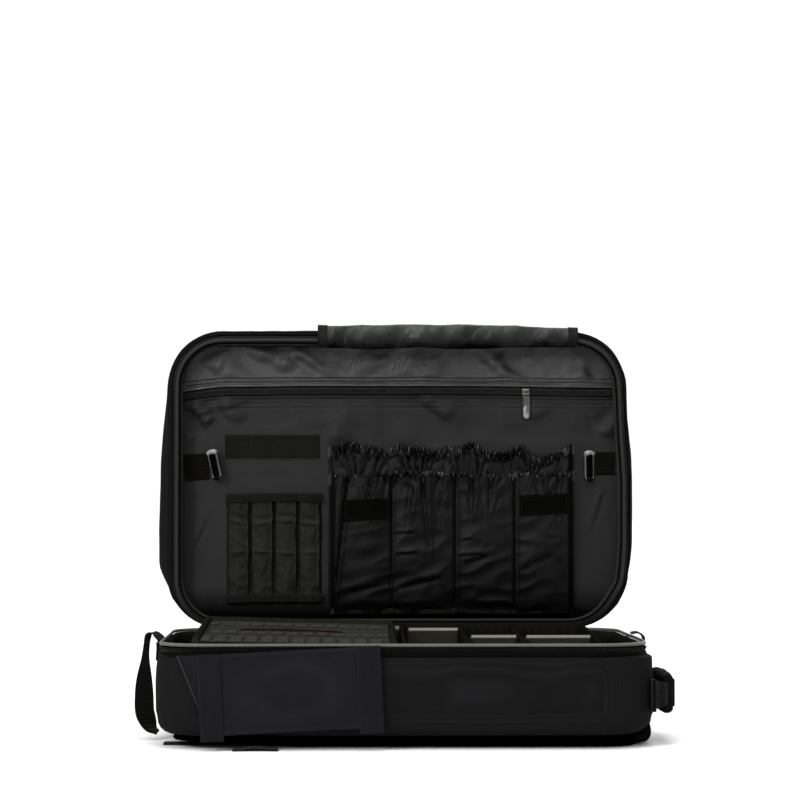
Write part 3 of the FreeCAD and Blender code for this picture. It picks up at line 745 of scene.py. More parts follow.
# places on the lining where something is sewn on, as (left, right, low, high)
CALM = [(-0.198, -0.080, 0.282, 0.322), (-0.250, -0.192, 0.258, 0.306), (0.200, 0.252, 0.262, 0.306),
        (-0.085, 0.200, 0.100, 0.300), (-0.200, -0.085, 0.120, 0.255), (0.118, 0.142, 0.330, 0.372)]


def calm(x, z):
    """0 where something is sewn over the lining, 1 away from it."""
    keep = np.ones(np.broadcast(x, z).shape)
    for x0, x1, z0, z1 in CALM:
        away = np.hypot(np.clip(np.maximum(x0 - x, x - x1), 0, 1), np.clip(np.maximum(z0 - z, z - z1), 0, 1))
        keep = keep * (0.12 + 0.88 * soft(away, 0.0, 0.016))
    return keep


def lining_panel(node, name, rows, wrinkles, grow_low, grow_high, cloth):
    """One of the two linings inside the lid, with its wrinkles."""
    cols = 230
    lo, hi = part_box(node)
    z = np.linspace(lo.z - grow_low, hi.z + grow_high, rows)[:, None] * np.ones((1, cols))
    x = np.linspace(-1, 1, cols)[None, :] * lid_half(z, 0.0042)
    depth = lo.y - LID_Y - wrinkles(x, z)
    front, back = lid_sheet(x + lid_spread(x, z), z + droop(x, z), depth, 0.0012)
    shape = Shape()
    shape.sheet(front, back)
    return shape.make(name, "lid", "lining_fabric", cloth, [node])


# creases of the two linings: (start, end, width, amount)
LOW_FOLDS = [((-0.225, 0.335), (-0.150, 0.352), 0.005, 0.0010),
             ((-0.228, 0.300), (-0.196, 0.338), 0.004, 0.0008),
             ((0.205, 0.345), (0.225, 0.290), 0.004, 0.0009),
             ((0.205, 0.200), (0.224, 0.260), 0.004, 0.0009),
             ((-0.222, 0.190), (-0.196, 0.245), 0.004, 0.0008),
             ((-0.236, 0.352), (-0.214, 0.318), 0.011, 0.0032),
             ((-0.205, 0.350), (-0.180, 0.318), 0.012, 0.0030),
             ((0.236, 0.346), (0.212, 0.322), 0.011, 0.0026),
             ((0.020, 0.350), (0.052, 0.322), 0.012, 0.0030),
             ((0.125, 0.350), (0.148, 0.322), 0.013, 0.0032),
             ((-0.232, 0.262), (-0.205, 0.285), 0.009, 0.0020)]
HIGH_FOLDS = [((-0.175, 0.405), (-0.115, 0.376), 0.012, 0.0036),
              ((-0.120, 0.406), (-0.080, 0.378), 0.007, 0.0030),
              ((0.075, 0.408), (0.105, 0.378), 0.013, 0.0040),
              ((0.150, 0.378), (0.118, 0.404), 0.012, 0.0034),
              ((0.205, 0.398), (0.176, 0.380), 0.010, 0.0028),
              ((-0.222, 0.392), (-0.196, 0.378), 0.010, 0.0026)]


def lower_wrinkles(x, z):
    """How far the lower lining stands out from its board."""
    slow = wobble_grid(x + 0.5 * z, z * 0.8, 0.060, 3.1) * 0.0060 + wobble_grid(x, z, 0.030, 5.7) * 0.0022
    slow = slow * (0.30 + 0.70 * soft(z, 0.27, 0.33))
    slow = slow + wobble_grid(x, z * 0.35, 0.020, 7.7) * 0.0016 * np.exp(-np.clip(0.356 - z, 0, 1) / 0.016)
    groove = sum(0.0007 * np.exp(-((z - h) / 0.0007) ** 2) for h in STITCH_LOW)
    hem = 0.0012 * soft(z, 0.3560, 0.3585)
    return lift_off((slow + folds(x, z, LOW_FOLDS)) * calm(x, z)) + hem - groove


def upper_wrinkles(x, z):
    """How far the upper lining stands out from its board."""
    slow = wobble_grid(x + 0.7 * z, z * 0.6, 0.040, 8.1) * 0.0062
    slow = slow + wobble_grid(x - 0.8 * z, z * 0.8, 0.020, 4.1) * 0.0024
    slow = slow * (0.35 + 0.65 * soft(z, 0.373, 0.386)) + folds(x, z, HIGH_FOLDS)
    puckers = wobble_grid(x, z * 0.25, 0.011, 2.2) * 0.0009 * np.exp(-(z - 0.371) / 0.010)
    groove = sum(0.0007 * np.exp(-((z - h) / 0.0007) ** 2) for h in STITCH_HIGH)
    hem = 0.0012 * (1 - soft(z, 0.3715, 0.3740))
    return lift_off((slow + puckers) * calm(x, z)) + hem - groove


STITCH_LOW = (0.3512, 0.3462)
STITCH_HIGH = (0.3752, 0.3790)
lining_lower = lining_panel("lining_lower_panel", "lining_lower", 190, lower_wrinkles, 0.0, 0.0030, LINER)
# the upper band takes the brighter copy of the lining cloth, painted light
lining_upper = lining_panel("lining_upper_band", "lining_upper", 70, upper_wrinkles, 0.0006, 0.0, LINER_BAND_LIT)

# pocket zipper: tape, coil and the four rows of stitching beside it
_lo, _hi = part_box("pocket_zipper_tape")
ZIP_MID = (_lo.z + _hi.z) / 2


def coil(shape, start, end, across, out, width, pitch, radius):
    """Interlocked nylon coil between two points."""
    start, end, across, out = [np.asarray(v, float) for v in (start, end, across, out)]
    length = np.linalg.norm(end - start)
    turns = int(length / pitch)
    t = np.linspace(0, turns * 2 * math.pi, turns * 8 + 1)
    for side in (-1, 1):
        centre = start + (end - start) * (t / t[-1])[:, None] + across * side * width * 0.22
        path = centre + across * (side * width * 0.32 * np.cos(t))[:, None]
        path = path + out * (0.25 * width * np.sin(t))[:, None]
        shape.tube(path, radius, 5)


tape = Shape()
# the wider sheet is black zipper cloth, painted shade for the shadow lines along the lining's folded edges;
# the narrow grey one is the tape's face
for half_high, shift, back_by, mat in ((0.0078, 0.0, 0.0016, 0), (0.0037, 0.0012, 0.0002, 1)):
    xx, zz = field(_lo.x - MID_X, _hi.x - MID_X, 200, -half_high, half_high, 15)
    zz = ZIP_MID + shift + zz
    xx = xx * 1.012 + lid_spread(xx, zz)
    sag = wobble_grid(xx, zz * 0.2, 0.05, 4.0) * 0.0005
    dd = LINING_D + back_by + sag - 0.0007 * np.exp(-((zz - ZIP_MID - shift) / 0.0028) ** 2)
    tape.sheet(*lid_sheet(xx, zz + droop(xx, zz), dd, 0.0009), mat)
tape.make("pocket_zipper_tape_cloth", "lid", "zipper", [ZIP, TAPE], ["pocket_zipper_tape"])
teeth = Shape()
coil_ends = [(x, LID_Y + LINING_D - 0.0004, ZIP_MID + 0.0012) for x in (_lo.x + 0.004, _hi.x - 0.004)]
coil(teeth, *coil_ends, (0, 0, 1), (0, -1, 0), 0.0030, 0.0017, 0.00034)
teeth.verts = [(x, y, z + float(droop(np.array(x - MID_X), np.array(ZIP_Z)))) for x, y, z in teeth.verts]
teeth.make("pocket_zipper_coil", "lid", "zipper", TAPE)

thread = Shape()
for height in STITCH_LOW + STITCH_HIGH:
    xs = np.linspace(-0.230, 0.232, 300)
    level = np.full_like(xs, height)
    lifted = (upper_wrinkles if height in STITCH_HIGH else lower_wrinkles)(xs, level)
    path = on_lid(xs, level + droop(xs, level), LINING_D - lifted - 0.0001)
    thread.stitches(path, 0.0027, 0.0012, 0.00042)
thread.make("lining_stitching", "lid", "lining_fabric", DARK_THREAD)


# ---------------------------------------------------------------- elastic loops and pen pocket

POCKET_CLOTH = (0, 0.0008, 0)

lo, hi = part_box("elastic_loop_strip")
LOOP_LEFT, LOOP_PITCH = lo.x - MID_X, (hi.x - lo.x) / 4


def between_seams(x, left, pitch):
    """0 at each seam between slots, 1 halfway."""
    return np.abs(np.sin(math.pi * (x - left) / pitch))


xx, zz = field(LOOP_LEFT, hi.x - MID_X, 121, lo.z, hi.z, 19)
arch = between_seams(xx, LOOP_LEFT, LOOP_PITCH) ** 0.55
ribs = 0.00003 * np.cos((zz - lo.z) * 2 * math.pi / 0.0031)
dd = hi.y - LID_Y - 0.0004 - 0.0024 * arch - ribs - 0.0004 * wobble_grid(xx, zz, 0.012, 6.0)
strip = Shape()
strip.sheet(*lid_sheet(xx, zz - 0.0008 * arch * 0.4, dd, 0.0010))
strip.make("elastic_loops", "lid", "elastic", ELASTIC, ["elastic_loop_strip"])

thread = Shape()
for n in range(5):
    for side in (-0.0008, 0.0008):
        x = LOOP_LEFT + n * LOOP_PITCH + side
        x = min(max(x, LOOP_LEFT + 0.0012), LOOP_LEFT + 4 * LOOP_PITCH - 0.0012)
        zs = np.linspace(lo.z + 0.001, hi.z - 0.001, 20)
        thread.stitches(on_lid(x, zs, hi.y - LID_Y - 0.0016), 0.0020, 0.0008, 0.00032)

lo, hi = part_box("pen_pocket")
PEN_LEFT, PEN_PITCH = lo.x - MID_X, (hi.x - lo.x) / 4
xx, zz = field(PEN_LEFT, hi.x - MID_X, 161, lo.z, hi.z, 90)
rise = (zz - lo.z) / (hi.z - lo.z)
arch = between_seams(xx, PEN_LEFT, PEN_PITCH)
full = 0.0058 * arch ** 0.6 * (0.72 + 0.28 * np.sin(rise * math.pi) ** 0.6)
full -= 0.0018 * np.exp(-((arch / 0.16) ** 2))
full += wobble_grid(xx, zz * 0.8, 0.016, 9.3) * 0.0011 + wobble_grid(xx, zz, 0.007, 1.7) * 0.0004
full += 0.0011 * np.exp(-((zz - 0.2195 - 0.002 * np.sin(xx * 90)) / 0.0022) ** 2) * arch
full -= 0.0010 * np.exp(-((zz - 0.2245 - 0.002 * np.sin(xx * 90)) / 0.0030) ** 2) * arch
full += 0.0009 * np.exp(-((zz - 0.1865 - 0.0012 * np.sin(xx * 70)) / 0.0016) ** 2) * arch
tuck = ((xx - PEN_LEFT) / PEN_PITCH) % 1
full += 0.0024 * np.exp(-((tuck - 0.90) / 0.06) ** 2) * soft(rise, 0.05, 0.3)
pens = Shape()
front = on_lid(xx, zz, hi.y - LID_Y - 0.0012 - full)
pins = np.zeros(xx.shape)
pins[:2], pins[-2:] = 1, 0.7
pins[arch < 0.06] = 1
front = settle(front, pins, 0.008, 0.8, 16, 0.0012)
pens.sheet(front, front + POCKET_CLOTH)
pens_cloth = pens.make("pen_pocket_cloth", "lid", "pocket_fabric", PENS, ["pen_pocket"])

binding = Shape()
for low, high in ((0.2410, 0.2505), (0.1308, 0.1400)):
    x, z = field(PEN_LEFT - 0.0006, hi.x - MID_X + 0.0006, 161, 0, 1, 13)
    arch = between_seams(x, PEN_LEFT, PEN_PITCH)
    tilt = 0.0012 * np.sin((x - PEN_LEFT) * 22)
    roll = 0.0010 * np.sin(z * math.pi) ** 0.5
    d = hi.y - LID_Y - 0.0050 - 0.0034 * arch ** 0.8 - roll - wobble_grid(x, z * 0.01, 0.01, 7.7) * 0.0005
    binding.sheet(*lid_sheet(x, low + (high - low) * z + tilt, d, 0.0022))
    for edge in (0.16, 0.84):
        row = int(edge * 12)
        path = on_lid(x[row], low + (high - low) * edge + tilt[row], d[row] - 0.0003)
        thread.stitches(path, 0.0024, 0.0012, 0.00033)
binding.make("pen_pocket_binding", "lid", "pocket_fabric", BINDING, ["pen_pocket_bindings"])
for n in range(5):
    x = np.clip(PEN_LEFT + n * PEN_PITCH, PEN_LEFT + 0.001, PEN_LEFT + 4 * PEN_PITCH - 0.001)
    zs = np.linspace(0.142, 0.240, 60)
    thread.stitches(on_lid(x, zs, hi.y - LID_Y - 0.0016), 0.0024, 0.0012, 0.0003)
thread.make("pocket_stitching", "lid", "pocket_fabric", THREAD)


# ---------------------------------------------------------------- gathered pockets

lo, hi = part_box("gathered_pocket_front")
GX = (lo.x - MID_X, hi.x - MID_X)
FRONT_D = lo.y - LID_Y


def gathers(x, z, top, seed, amount, wave, reach):
    """Fine pleats that start at an elastic and fade down the cloth."""
    slant = 0.50 * np.sin(x * 101 + 2.3 * seed) + 0.25 * np.sin(x * 223 + seed)
    warp = x + 0.004 * np.sin(x * 61 + seed) + 0.0025 * np.sin(x * 139 + 2 * seed) + (top - z) * slant
    pleats = np.abs(np.sin(math.pi * warp / wave + seed)) ** 0.8 - 0.55
    strength = 0.55 + 0.45 * wobble_grid(x, z * 0, 0.018, seed)
    return amount * pleats * strength * np.exp(-np.clip(top - z, 0, 1) / reach)


def ends_down(x, width=0.0065):
    """0 along the pocket's two flat sewn ends, 1 inside."""
    near = np.minimum(x - GX[0], GX[1] - x) - 0.0030
    return np.sin(np.clip(near / width, 0, 1) * math.pi / 2) ** 0.9


# seams of the front pocket: where each meets the top and the bottom
SEAMS = [(-0.0535, -0.0700), (-0.0060, -0.0050), (0.0642, 0.0640), (0.1297, 0.1300)]
# pleats below the elastic: (place, top, low end, depth)
PLEATS = [(0.0285, 0.264, 0.168, 0.0024), (-0.0290, 0.266, 0.215, 0.0020), (0.0170, 0.266, 0.205, 0.0020),
          (0.0480, 0.268, 0.228, 0.0018), (0.0830, 0.266, 0.212, 0.0022), (0.1040, 0.266, 0.226, 0.0018),
          (0.1580, 0.262, 0.236, 0.0018), (0.1790, 0.262, 0.214, 0.0018)]


# creases of the front pocket: (start, end, width, amount)
CREASES = [((-0.004, 0.2065), (0.024, 0.2085), 0.0026, 0.0009),
           ((-0.003, 0.1837), (0.026, 0.1860), 0.0026, 0.0010),
           ((0.0710, 0.1994), (0.0850, 0.2010), 0.0024, 0.0008),
           ((0.0670, 0.1820), (0.0970, 0.1850), 0.0026, 0.0010),
           ((-0.0055, 0.1445), (0.0550, 0.1600), 0.0048, 0.0016),
           ((0.0725, 0.1730), (0.1050, 0.1830), 0.0044, 0.0011),
           ((0.1355, 0.1660), (0.1780, 0.1860), 0.0060, 0.0010),
           ((-0.0600, 0.1400), (-0.0100, 0.1520), 0.0050, 0.0012)]


def pocket_front(x, z):
    """How far the front pocket stands out from its flat place."""
    rise = np.clip((z - lo.z) / (hi.z - lo.z), 0, 1)
    out = 0.0030 * np.sin(rise * math.pi * 0.85) - 0.003 * (1 - soft(rise, 0, 0.10))
    edges = [GX[0]] + [0] * len(SEAMS) + [GX[1]]
    for k, (top_x, low_x) in enumerate(SEAMS):
        line = low_x + (top_x - low_x) * rise
        edges[k + 1] = line
        s = (x - line) / 0.0011
        out = out - 0.0022 * np.exp(-s ** 2) + 0.0012 * np.exp(-((s - 2.6) / 1.8) ** 2)
    for left, right in zip(edges, edges[1:]):
        t = np.clip((x - left) / (right - left), 0, 1)
        out = out + 0.0032 * np.sin(t * math.pi) ** 0.8 * (0.4 + 0.6 * rise)
    for px, z1, z0, amount in PLEATS:
        mask = soft(z, z0, z0 + 0.35 * (z1 - z0)) * (0.4 + 0.6 * soft(z, z0, z1))
        wide = 0.0012 + 0.0022 * soft(z, z0, z1)
        s = (x - px - 0.12 * (z1 - z) * math.sin(px * 300)) / wide
        out = out + 1.2 * amount * mask * (0.9 * np.exp(-(((s - 2.0) / 1.4) ** 2)) - np.exp(-s ** 2))
    for start, end, width, amount in CREASES:
        out = out + fold(x, z, start, end, width, amount)
    slant = ridge_grid(x * 0.55 + z * 0.30, z * 1.2 - x * 0.35, 0.022, 12.0)
    out = out + slant * 0.0016 * (1 - 0.6 * rise) + wobble_grid(x * 1.2, z * 0.5, 0.028, 3.3) * 0.0018
    out = out + gathers(x, z, hi.z, 1.3, 0.0052, 0.0125, 0.017)
    return out + gathers(x, z, hi.z, 2.6, 0.0018, 0.0060, 0.008)


rows, cols = 96, 230
xx, zz = field(GX[0], GX[1], cols, lo.z, hi.z + 0.0015, rows)
depth = FRONT_D - pocket_front(xx, zz)
depth = depth + (LINING_D - 0.0015 - depth) * (1 - ends_down(xx))
front = on_lid(xx, zz, depth)
pins = np.ones(xx.shape)
pins[2:-3, 2:-2] = 0
for top_x, low_x in SEAMS:
    for row in range(rows):
        line = low_x + (top_x - low_x) * row / (rows - 1)
        pins[row, int(round((line - GX[0]) / (GX[1] - GX[0]) * (cols - 1)))] = 1
cut = front.copy()
cut[..., 0] = MID_X + (cut[..., 0] - MID_X) * 1.06
cut[..., 2] = 0.19 + (cut[..., 2] - 0.19) * 1.025
front = settle(front, pins, 0.0, 1.2, 24, 0.0022, cut)
pocket = Shape()
pocket.sheet(front, front + POCKET_CLOTH)
POCKET_FACE = front
front_pocket = pocket.make("front_pocket_cloth", "lid", "pocket_fabric", SATIN, ["gathered_pocket_front"])


def rear_top(x):
    """Height of the rear pocket's wavy edge."""
    dips = 0.0135 * np.exp(-((x - 0.160) / 0.016) ** 2) + 0.006 * np.exp(-((x - 0.110) / 0.02) ** 2)
    dips = dips + 0.005 * np.exp(-((x - 0.026) / 0.016) ** 2)
    return 0.3045 - dips + 0.0030 * np.sin(x * 96) + 0.0014 * np.sin(x * 233 + 1)


def front_top(x):
    """Height of the front pocket's edge."""
    waves = 0.0025 * np.sin(x * 44 + 0.4) + 0.0010 * np.sin(x * 197)
    return 0.2745 + waves - 0.004 * np.exp(-((x - 0.168) / 0.02) ** 2)


rows = 60
rise = np.linspace(0, 1, rows)[:, None] * np.ones((1, cols))
zz = 0.215 + rise * (rear_top(xx[:rows]) - 0.009 - 0.215)
out = 0.0018 * np.sin(rise * math.pi) + wobble_grid(xx[:rows], zz * 0.5, 0.03, 15.0) * 0.0018
out = out + gathers(xx[:rows], zz, 0.297, 4.4, 0.0072, 0.0120, 0.03)
out = out + gathers(xx[:rows], zz, 0.297, 0.7, 0.0034, 0.0060, 0.012)
depth = LINING_D - 0.0055 - out
depth = depth + (LINING_D - 0.0010 - depth) * (1 - ends_down(xx[:rows]))
front = on_lid(xx[:rows], zz, depth)
pocket = Shape()
pocket.sheet(front, front + POCKET_CLOTH)
rear_pocket = pocket.make("rear_pocket_cloth", "lid", "pocket_fabric", SATIN, ["gathered_pocket_rear"])


def ruffle(name, node, top, height, depth0, seed):
    """Gathered elastic edge: a narrow rolled band thrown into small waves."""
    x, t = field(GX[0], GX[1], 640, 0, 1, 13)
    warp = x + 0.004 * np.sin(x * 61 + seed) + 0.0025 * np.sin(x * 139 + 2 * seed)
    slow = np.array([noise.noise(Vector((v * 45, seed, 0))) for v in x[0]])[None, :]
    lean = np.array([noise.noise(Vector((v * 120, seed + 7, 0))) for v in x[0]])[None, :] * 7.0 * (t - 0.5)
    wave = np.sin(2 * math.pi * warp / 0.0058 + seed + 3 * slow + lean)
    small = np.sin(2 * math.pi * warp / 0.0035 + 2 * seed - 4 * slow - 1.4 * lean)
    wave = np.sign(wave) * np.abs(wave) ** 0.7 + 0.55 * small
    strength = 0.0030 * (0.75 + 0.7 * slow)
    puff = np.sin(t * 2 * math.pi - math.pi / 2) * 0.5 + 0.5
    z = top(x) - height * (1 - t) + 0.0017 * wave * (t - 0.25) + 0.0012 * slow
    d = depth0 - strength * wave * (0.55 + 0.6 * puff) - 0.0016 * np.sin(t * math.pi)
    d = d + (LINING_D - 0.003 - d) * (1 - ends_down(x, 0.006))
    shape = Shape()
    shape.sheet(*lid_sheet(x, z, d, 0.0016))
    for row in (4, 8):
        shape.stitches(on_lid(x[0], z[row], d[row] - 0.0002), 0.0022, 0.0010, 0.00026, 1)
    shape.make(name, "lid", "elastic", [RUFFLE, DARK_THREAD], [node], angle=70)


ruffle("front_pocket_ruffle", "front_pocket_elastic", front_top, 0.0108, FRONT_D - 0.0004, 1.3)
ruffle("rear_pocket_ruffle", "rear_pocket_elastic", rear_top, 0.0112, LINING_D - 0.0070, 4.4)

seams = Shape()
for side, x in ((-1, GX[0] + 0.0016), (1, GX[1] - 0.0016)):
    zs = np.linspace(0.122, 0.300, 80)
    seams.stitches(on_lid(x, zs, LINING_D - 0.0042), 0.0026, 0.0012, 0.00032)
xs = np.linspace(GX[0], GX[1], 200)
hem = Shape()
x, t = field(GX[0], GX[1], 200, 0, 1, 9)
d = FRONT_D + 0.0028 - 0.0012 * np.sin(t * math.pi) ** 0.5 - wobble_grid(x, t * 0.01, 0.02, 2.0) * 0.0006
d = d + (LINING_D - 0.0015 - d) * (1 - ends_down(x))
hem.sheet(*lid_sheet(x, 0.1190 + 0.0062 * t + wobble_grid(x, t * 0, 0.05, 1.0) * 0.0008, d, 0.0030))
seams.stitches(on_lid(xs, 0.1236, d[6] - 0.0004), 0.0026, 0.0012, 0.00034)
hem.make("front_pocket_hem", "lid", "pocket_fabric", BINDING)
seams.make("gathered_pocket_stitching", "lid", "pocket_fabric", THREAD)

patch = Shape()
pl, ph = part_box("hook_patches")
for x0, x1, z0, z1 in ((pl.x, pl.x + 0.050, 0.221, 0.244), (ph.x - 0.053, ph.x, 0.227, 0.249)):
    u, v = field(0, 1, 60, 0, 1, 30)
    x = x0 - MID_X + (x1 - x0) * u
    z = z0 + (z1 - z0) * v
    z = z + 0.0025 * (x - x.min()) / 0.05
    col = (x - GX[0]) / (GX[1] - GX[0]) * (POCKET_FACE.shape[1] - 1)
    row = (z - lo.z) / (hi.z + 0.0015 - lo.z) * (POCKET_FACE.shape[0] - 1)
    near = np.zeros(x.shape)
    for di, dj in ((0, 0), (3, 0), (-3, 0), (0, 4), (0, -4), (2, 3), (-2, -3)):
        i = np.clip(row.astype(int) + di, 0, POCKET_FACE.shape[0] - 1)
        j = np.clip(col.astype(int) + dj, 0, POCKET_FACE.shape[1] - 1)
        near += POCKET_FACE[i, j, 1] / 7
    d = near - LID_Y - 0.0016 - 0.6 * (near - near.min())
    d = d + np.array([rng.uniform(-1, 1) for _ in range(x.size)]).reshape(x.shape) * 0.00025
    patch.sheet(*lid_sheet(x, z, d, 0.0030))
    corners = ((2, 2), (2, -3), (-3, -3), (-3, 2), (2, 2))
    edge = [on_lid(x[c], z[c], d[c] - 0.0004) for c in corners]
    patch.stitch_chain(edge, 12, 0.0022, 0.0012, 0.00036, 1)
patch.make("hook_patch_pair", "lid", "hook_loop", [FUZZ, THREAD], ["hook_patches"])


# ---------------------------------------------------------------- tabs, rings, sliders

def ribbed_tab(name, node, lean, ribs):
    """Webbing tab sewn flat, with cross ribs and a stitched end."""
    lo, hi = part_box(node)
    left, right = lo.x - MID_X - (0.0036 if lean else 0), hi.x - MID_X + (0 if lean else 0.0085)
    cx, cz = (left + right) / 2, (lo.z + hi.z) / 2
    w, h = (right - left) * (0.92 if lean else 1.0), (hi.z - lo.z) * (0.92 if lean else 1.0)
    u, v = field(-0.5, 0.5, 31, -0.5, 0.5, 61)
    a = math.radians(lean)
    x = cx + u * w * math.cos(a) + v * h * math.sin(a)
    z = cz - u * w * math.sin(a) * 0.6 + v * h * math.cos(a)
    rib = 0.5 + 0.5 * np.cos(v * ribs * 2 * math.pi)
    edge = (1 - (2 * np.abs(u)) ** 10) * (1 - (2 * np.abs(v)) ** 16)
    d = lo.y - LID_Y + 0.0009 - (0.0007 + 0.0003 * rib) * edge
    shape = Shape()
    shape.sheet(*lid_sheet(x, z, d, 0.0022))
    shape.make(name, "lid", "webbing", WEB, [node])


ribbed_tab("ring_tab_left_web", "ring_tab_left", -6, 14)
ribbed_tab("ring_tab_right_web", "ring_tab_right", 0, 13)


def wire_ring(name, node, side, turn, lean, z0, x0):
    """Rectangular wire ring with a gap-closed long bar, as its CAD solid stands."""
    depth, height, r = 0.018, 0.034, 0.0015
    a, tilt = math.radians(turn), math.radians(lean)
    flat = []
    corners = [(0.0, -1), (depth - 2 * r, -1), (depth - 2 * r, 1), (0.0, 1)]
    for k, (u, v) in enumerate(corners):
        v = v * (height / 2 - r)
        cu = 0.004 if u < 0.005 else depth - 2 * r - 0.004
        cv = math.copysign(height / 2 - r - 0.004, v)
        start = (180, 270, 0, 90)[k]
        for i in range(7):
            b = math.radians(start + 90 * i / 6)
            flat.append((cu + 0.004 * math.cos(b), cv + 0.004 * math.sin(b)))
    path = []
    for u, v in flat:
        x, y, z = side * u * math.cos(a), -u * math.sin(a), v
        path.append((x0 + x * math.cos(tilt) + z * math.sin(tilt), y0_ring + y,
                     z0 - x * math.sin(tilt) + z * math.cos(tilt)))
    shape = Shape()
    shape.tube(path, r, 12, closed=True)
    flat_side = side * math.cos(a)
    side_dir = np.array((flat_side * math.cos(tilt), -math.sin(a), -flat_side * math.sin(tilt)))
    up_dir = np.array((math.sin(tilt), 0.0, math.cos(tilt)))
    centre = np.array((x0, y0_ring, z0)) + side_dir * (depth / 2 - r)
    keeper = [centre + up_dir * (height / 2 - 0.0045) * t for t in np.linspace(-1, 1, 14)]
    ribbon(shape, keeper, side_dir, depth - 0.0060, 0.0026, 1)
    # painted highlight: the top bar is drawn in the bright nickel, standing in for the light on the ring's
    # top
    cap = []
    for t in np.linspace(-1, 1, 9):
        up = height / 2 - 0.0022 - 0.0016 * abs(t) ** 3
        cap.append(centre + up_dir * up + side_dir * (depth / 2 - 0.0022) * t)
    shape.tube(cap, 0.0026, 12, mat=2)
    return shape.make(name, node.replace("strap_", ""), "metal", [RING, INK, RING_TOP_HIGHLIGHT], [node])


y0_ring = LID_Y + LINING_D - 0.0048
_l, _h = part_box("strap_ring_left")
wire_ring("ring_left_wire", "strap_ring_left", 1, 52, -12, (_l.z + _h.z) / 2, MID_X - 0.2045)
_l, _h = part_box("strap_ring_right")
wire_ring("ring_right_wire", "strap_ring_right", -1, 52, 0, (_l.z + _h.z) / 2, MID_X + 0.218)


def slider(name, node, body, out, along, up):
    """Zip slider: a waisted body with flared mouths and a bridge."""
    lo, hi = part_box(node)
    c = np.array((lo + hi) / 2)
    out, along, up = [np.array(v, float) for v in (out, along, up)]
    size = np.array(hi - lo)
    half_l, half_w, half_t = [abs(size.dot(v)) / 2 for v in (np.abs(along), np.abs(up), np.abs(out))]
    bridge = 0.0018 if "pocket" in node else 0.0
    half_t -= bridge / 2
    c = c - out * bridge / 2
    shape = Shape()
    rings = []
    for t in np.linspace(-1, 1, 17):
        w = half_w * (0.72 + 0.28 * abs(t) ** 1.6) * math.sqrt(max(0.05, 1 - abs(t) ** 9))
        h = half_t * (0.94 - 0.10 * t * t) * math.sqrt(max(0.15, 1 - abs(t) ** 12))
        a = np.arange(20) * 2 * math.pi / 20
        cu = np.sign(np.cos(a)) * np.abs(np.cos(a)) ** 0.45 * w
        cv = np.sign(np.sin(a)) * np.abs(np.sin(a)) ** 0.45 * h
        rings.append(c + along * half_l * t + np.outer(cu, up) + np.outer(cv, out))
    shape.loft(rings)
    if bridge:
        arc = [c + along * (0.0026 * math.cos(b) - 0.0010) + out * (half_t + 0.0014 * math.sin(b))
               for b in np.linspace(0, math.pi, 9)]
        shape.tube(arc, 0.0006, 8)
    return shape.make(name, body, "metal", GUN, [node])


slider("pocket_slider_metal", "pocket_slider", "pocket_slider", (0, -1, 0), (1, 0, 0), (0, 0, 1))
slider("main_slider_left_metal", "main_slider_left", "main_slider_left", (-1, 0, 0), (0, 1, 0), (0, 0, 1))
slider("main_slider_right_metal", "main_slider_right", "main_slider_right", (1, 0, 0), (0, 1, 0), (0, 0, 1))


def pull(name, node, body, face, along, bright):
    """Flat pull: a bar loop, a waist and a rounded tip, with a raised rim."""
    lo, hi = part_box(node)
    c, size = np.array((lo + hi) / 2), np.array(hi - lo)
    face, along = np.array(face, float), np.array(along, float)
    side = np.cross(face, along)
    length, width = abs(size.dot(np.abs(along))), abs(size.dot(np.abs(side)))
    start = c - along * length / 2
    shape = Shape()
    ts = np.linspace(0, 1, 40)
    half = width / 2 * (0.86 + 0.14 * soft(ts, 0.05, 0.5)) * (1.12 if bright else 1.0)
    half *= np.sqrt(np.clip(1 - np.clip((ts - 0.84) / 0.16, 0, 1) ** 2, 0.01, 1))
    half *= np.sqrt(np.clip(1 - np.clip((0.05 - ts) / 0.05, 0, 1) ** 2, 0.05, 1))
    u = np.linspace(-1, 1, 17)
    rim = 0.00062 + 0.00022 * np.clip(np.abs(u) * 3 - 1.6, 0, 1) - 0.0007 * np.clip(np.abs(u) * 9 - 8, 0, 1)
    tip = 1 - 0.45 * soft(ts, 0.94, 1.0)
    mid_line = start + np.outer(ts * length, along)
    across = mid_line[:, None] + (half[:, None] * u[None, :])[..., None] * side
    lift = (rim[None, :] * tip[:, None])[..., None] * face
    shape.sheet(across + lift, across - lift)
    if bright:
        bulb = [start + along * (length * t) for t in (0.42, 0.70, 0.90, 0.985)]
        shape.tube(bulb, [width * 0.30, width * 0.42, width * 0.42, width * 0.18], 14, flat=0.30, mat=1)
    bar = [start + along * 0.0010 + side * (width * 0.34 * t) for t in (-1, -0.5, 0, 0.5, 1)]
    shape.tube(bar, 0.0008, 10)
    return shape.make(name, body, "metal", [GUN, METAL], [node])


pull("pocket_pull_metal", "pocket_pull", "pocket_pull", (0, -1, 0), (0, 0, -1), True)
pull("main_pull_left_metal", "main_pull_left", "main_pull_left", (-1, 0, 0), (0, -1, 0), False)
pull("main_pull_right_metal", "main_pull_right", "main_pull_right", (1, 0, 0), (0, -1, 0), False)


# ---------------------------------------------------------------- lid shell, walls, rim

def rim_noise(scale, seed):
    """Noise round the rim that changes with height."""
    cache = {}

    def value(height):
        key = round(height, 5)
        if key not in cache:
            cache[key] = np.array([wobble(p[0], p[1], height, scale, seed) for p in RIM_P])
        return cache[key]
    return value


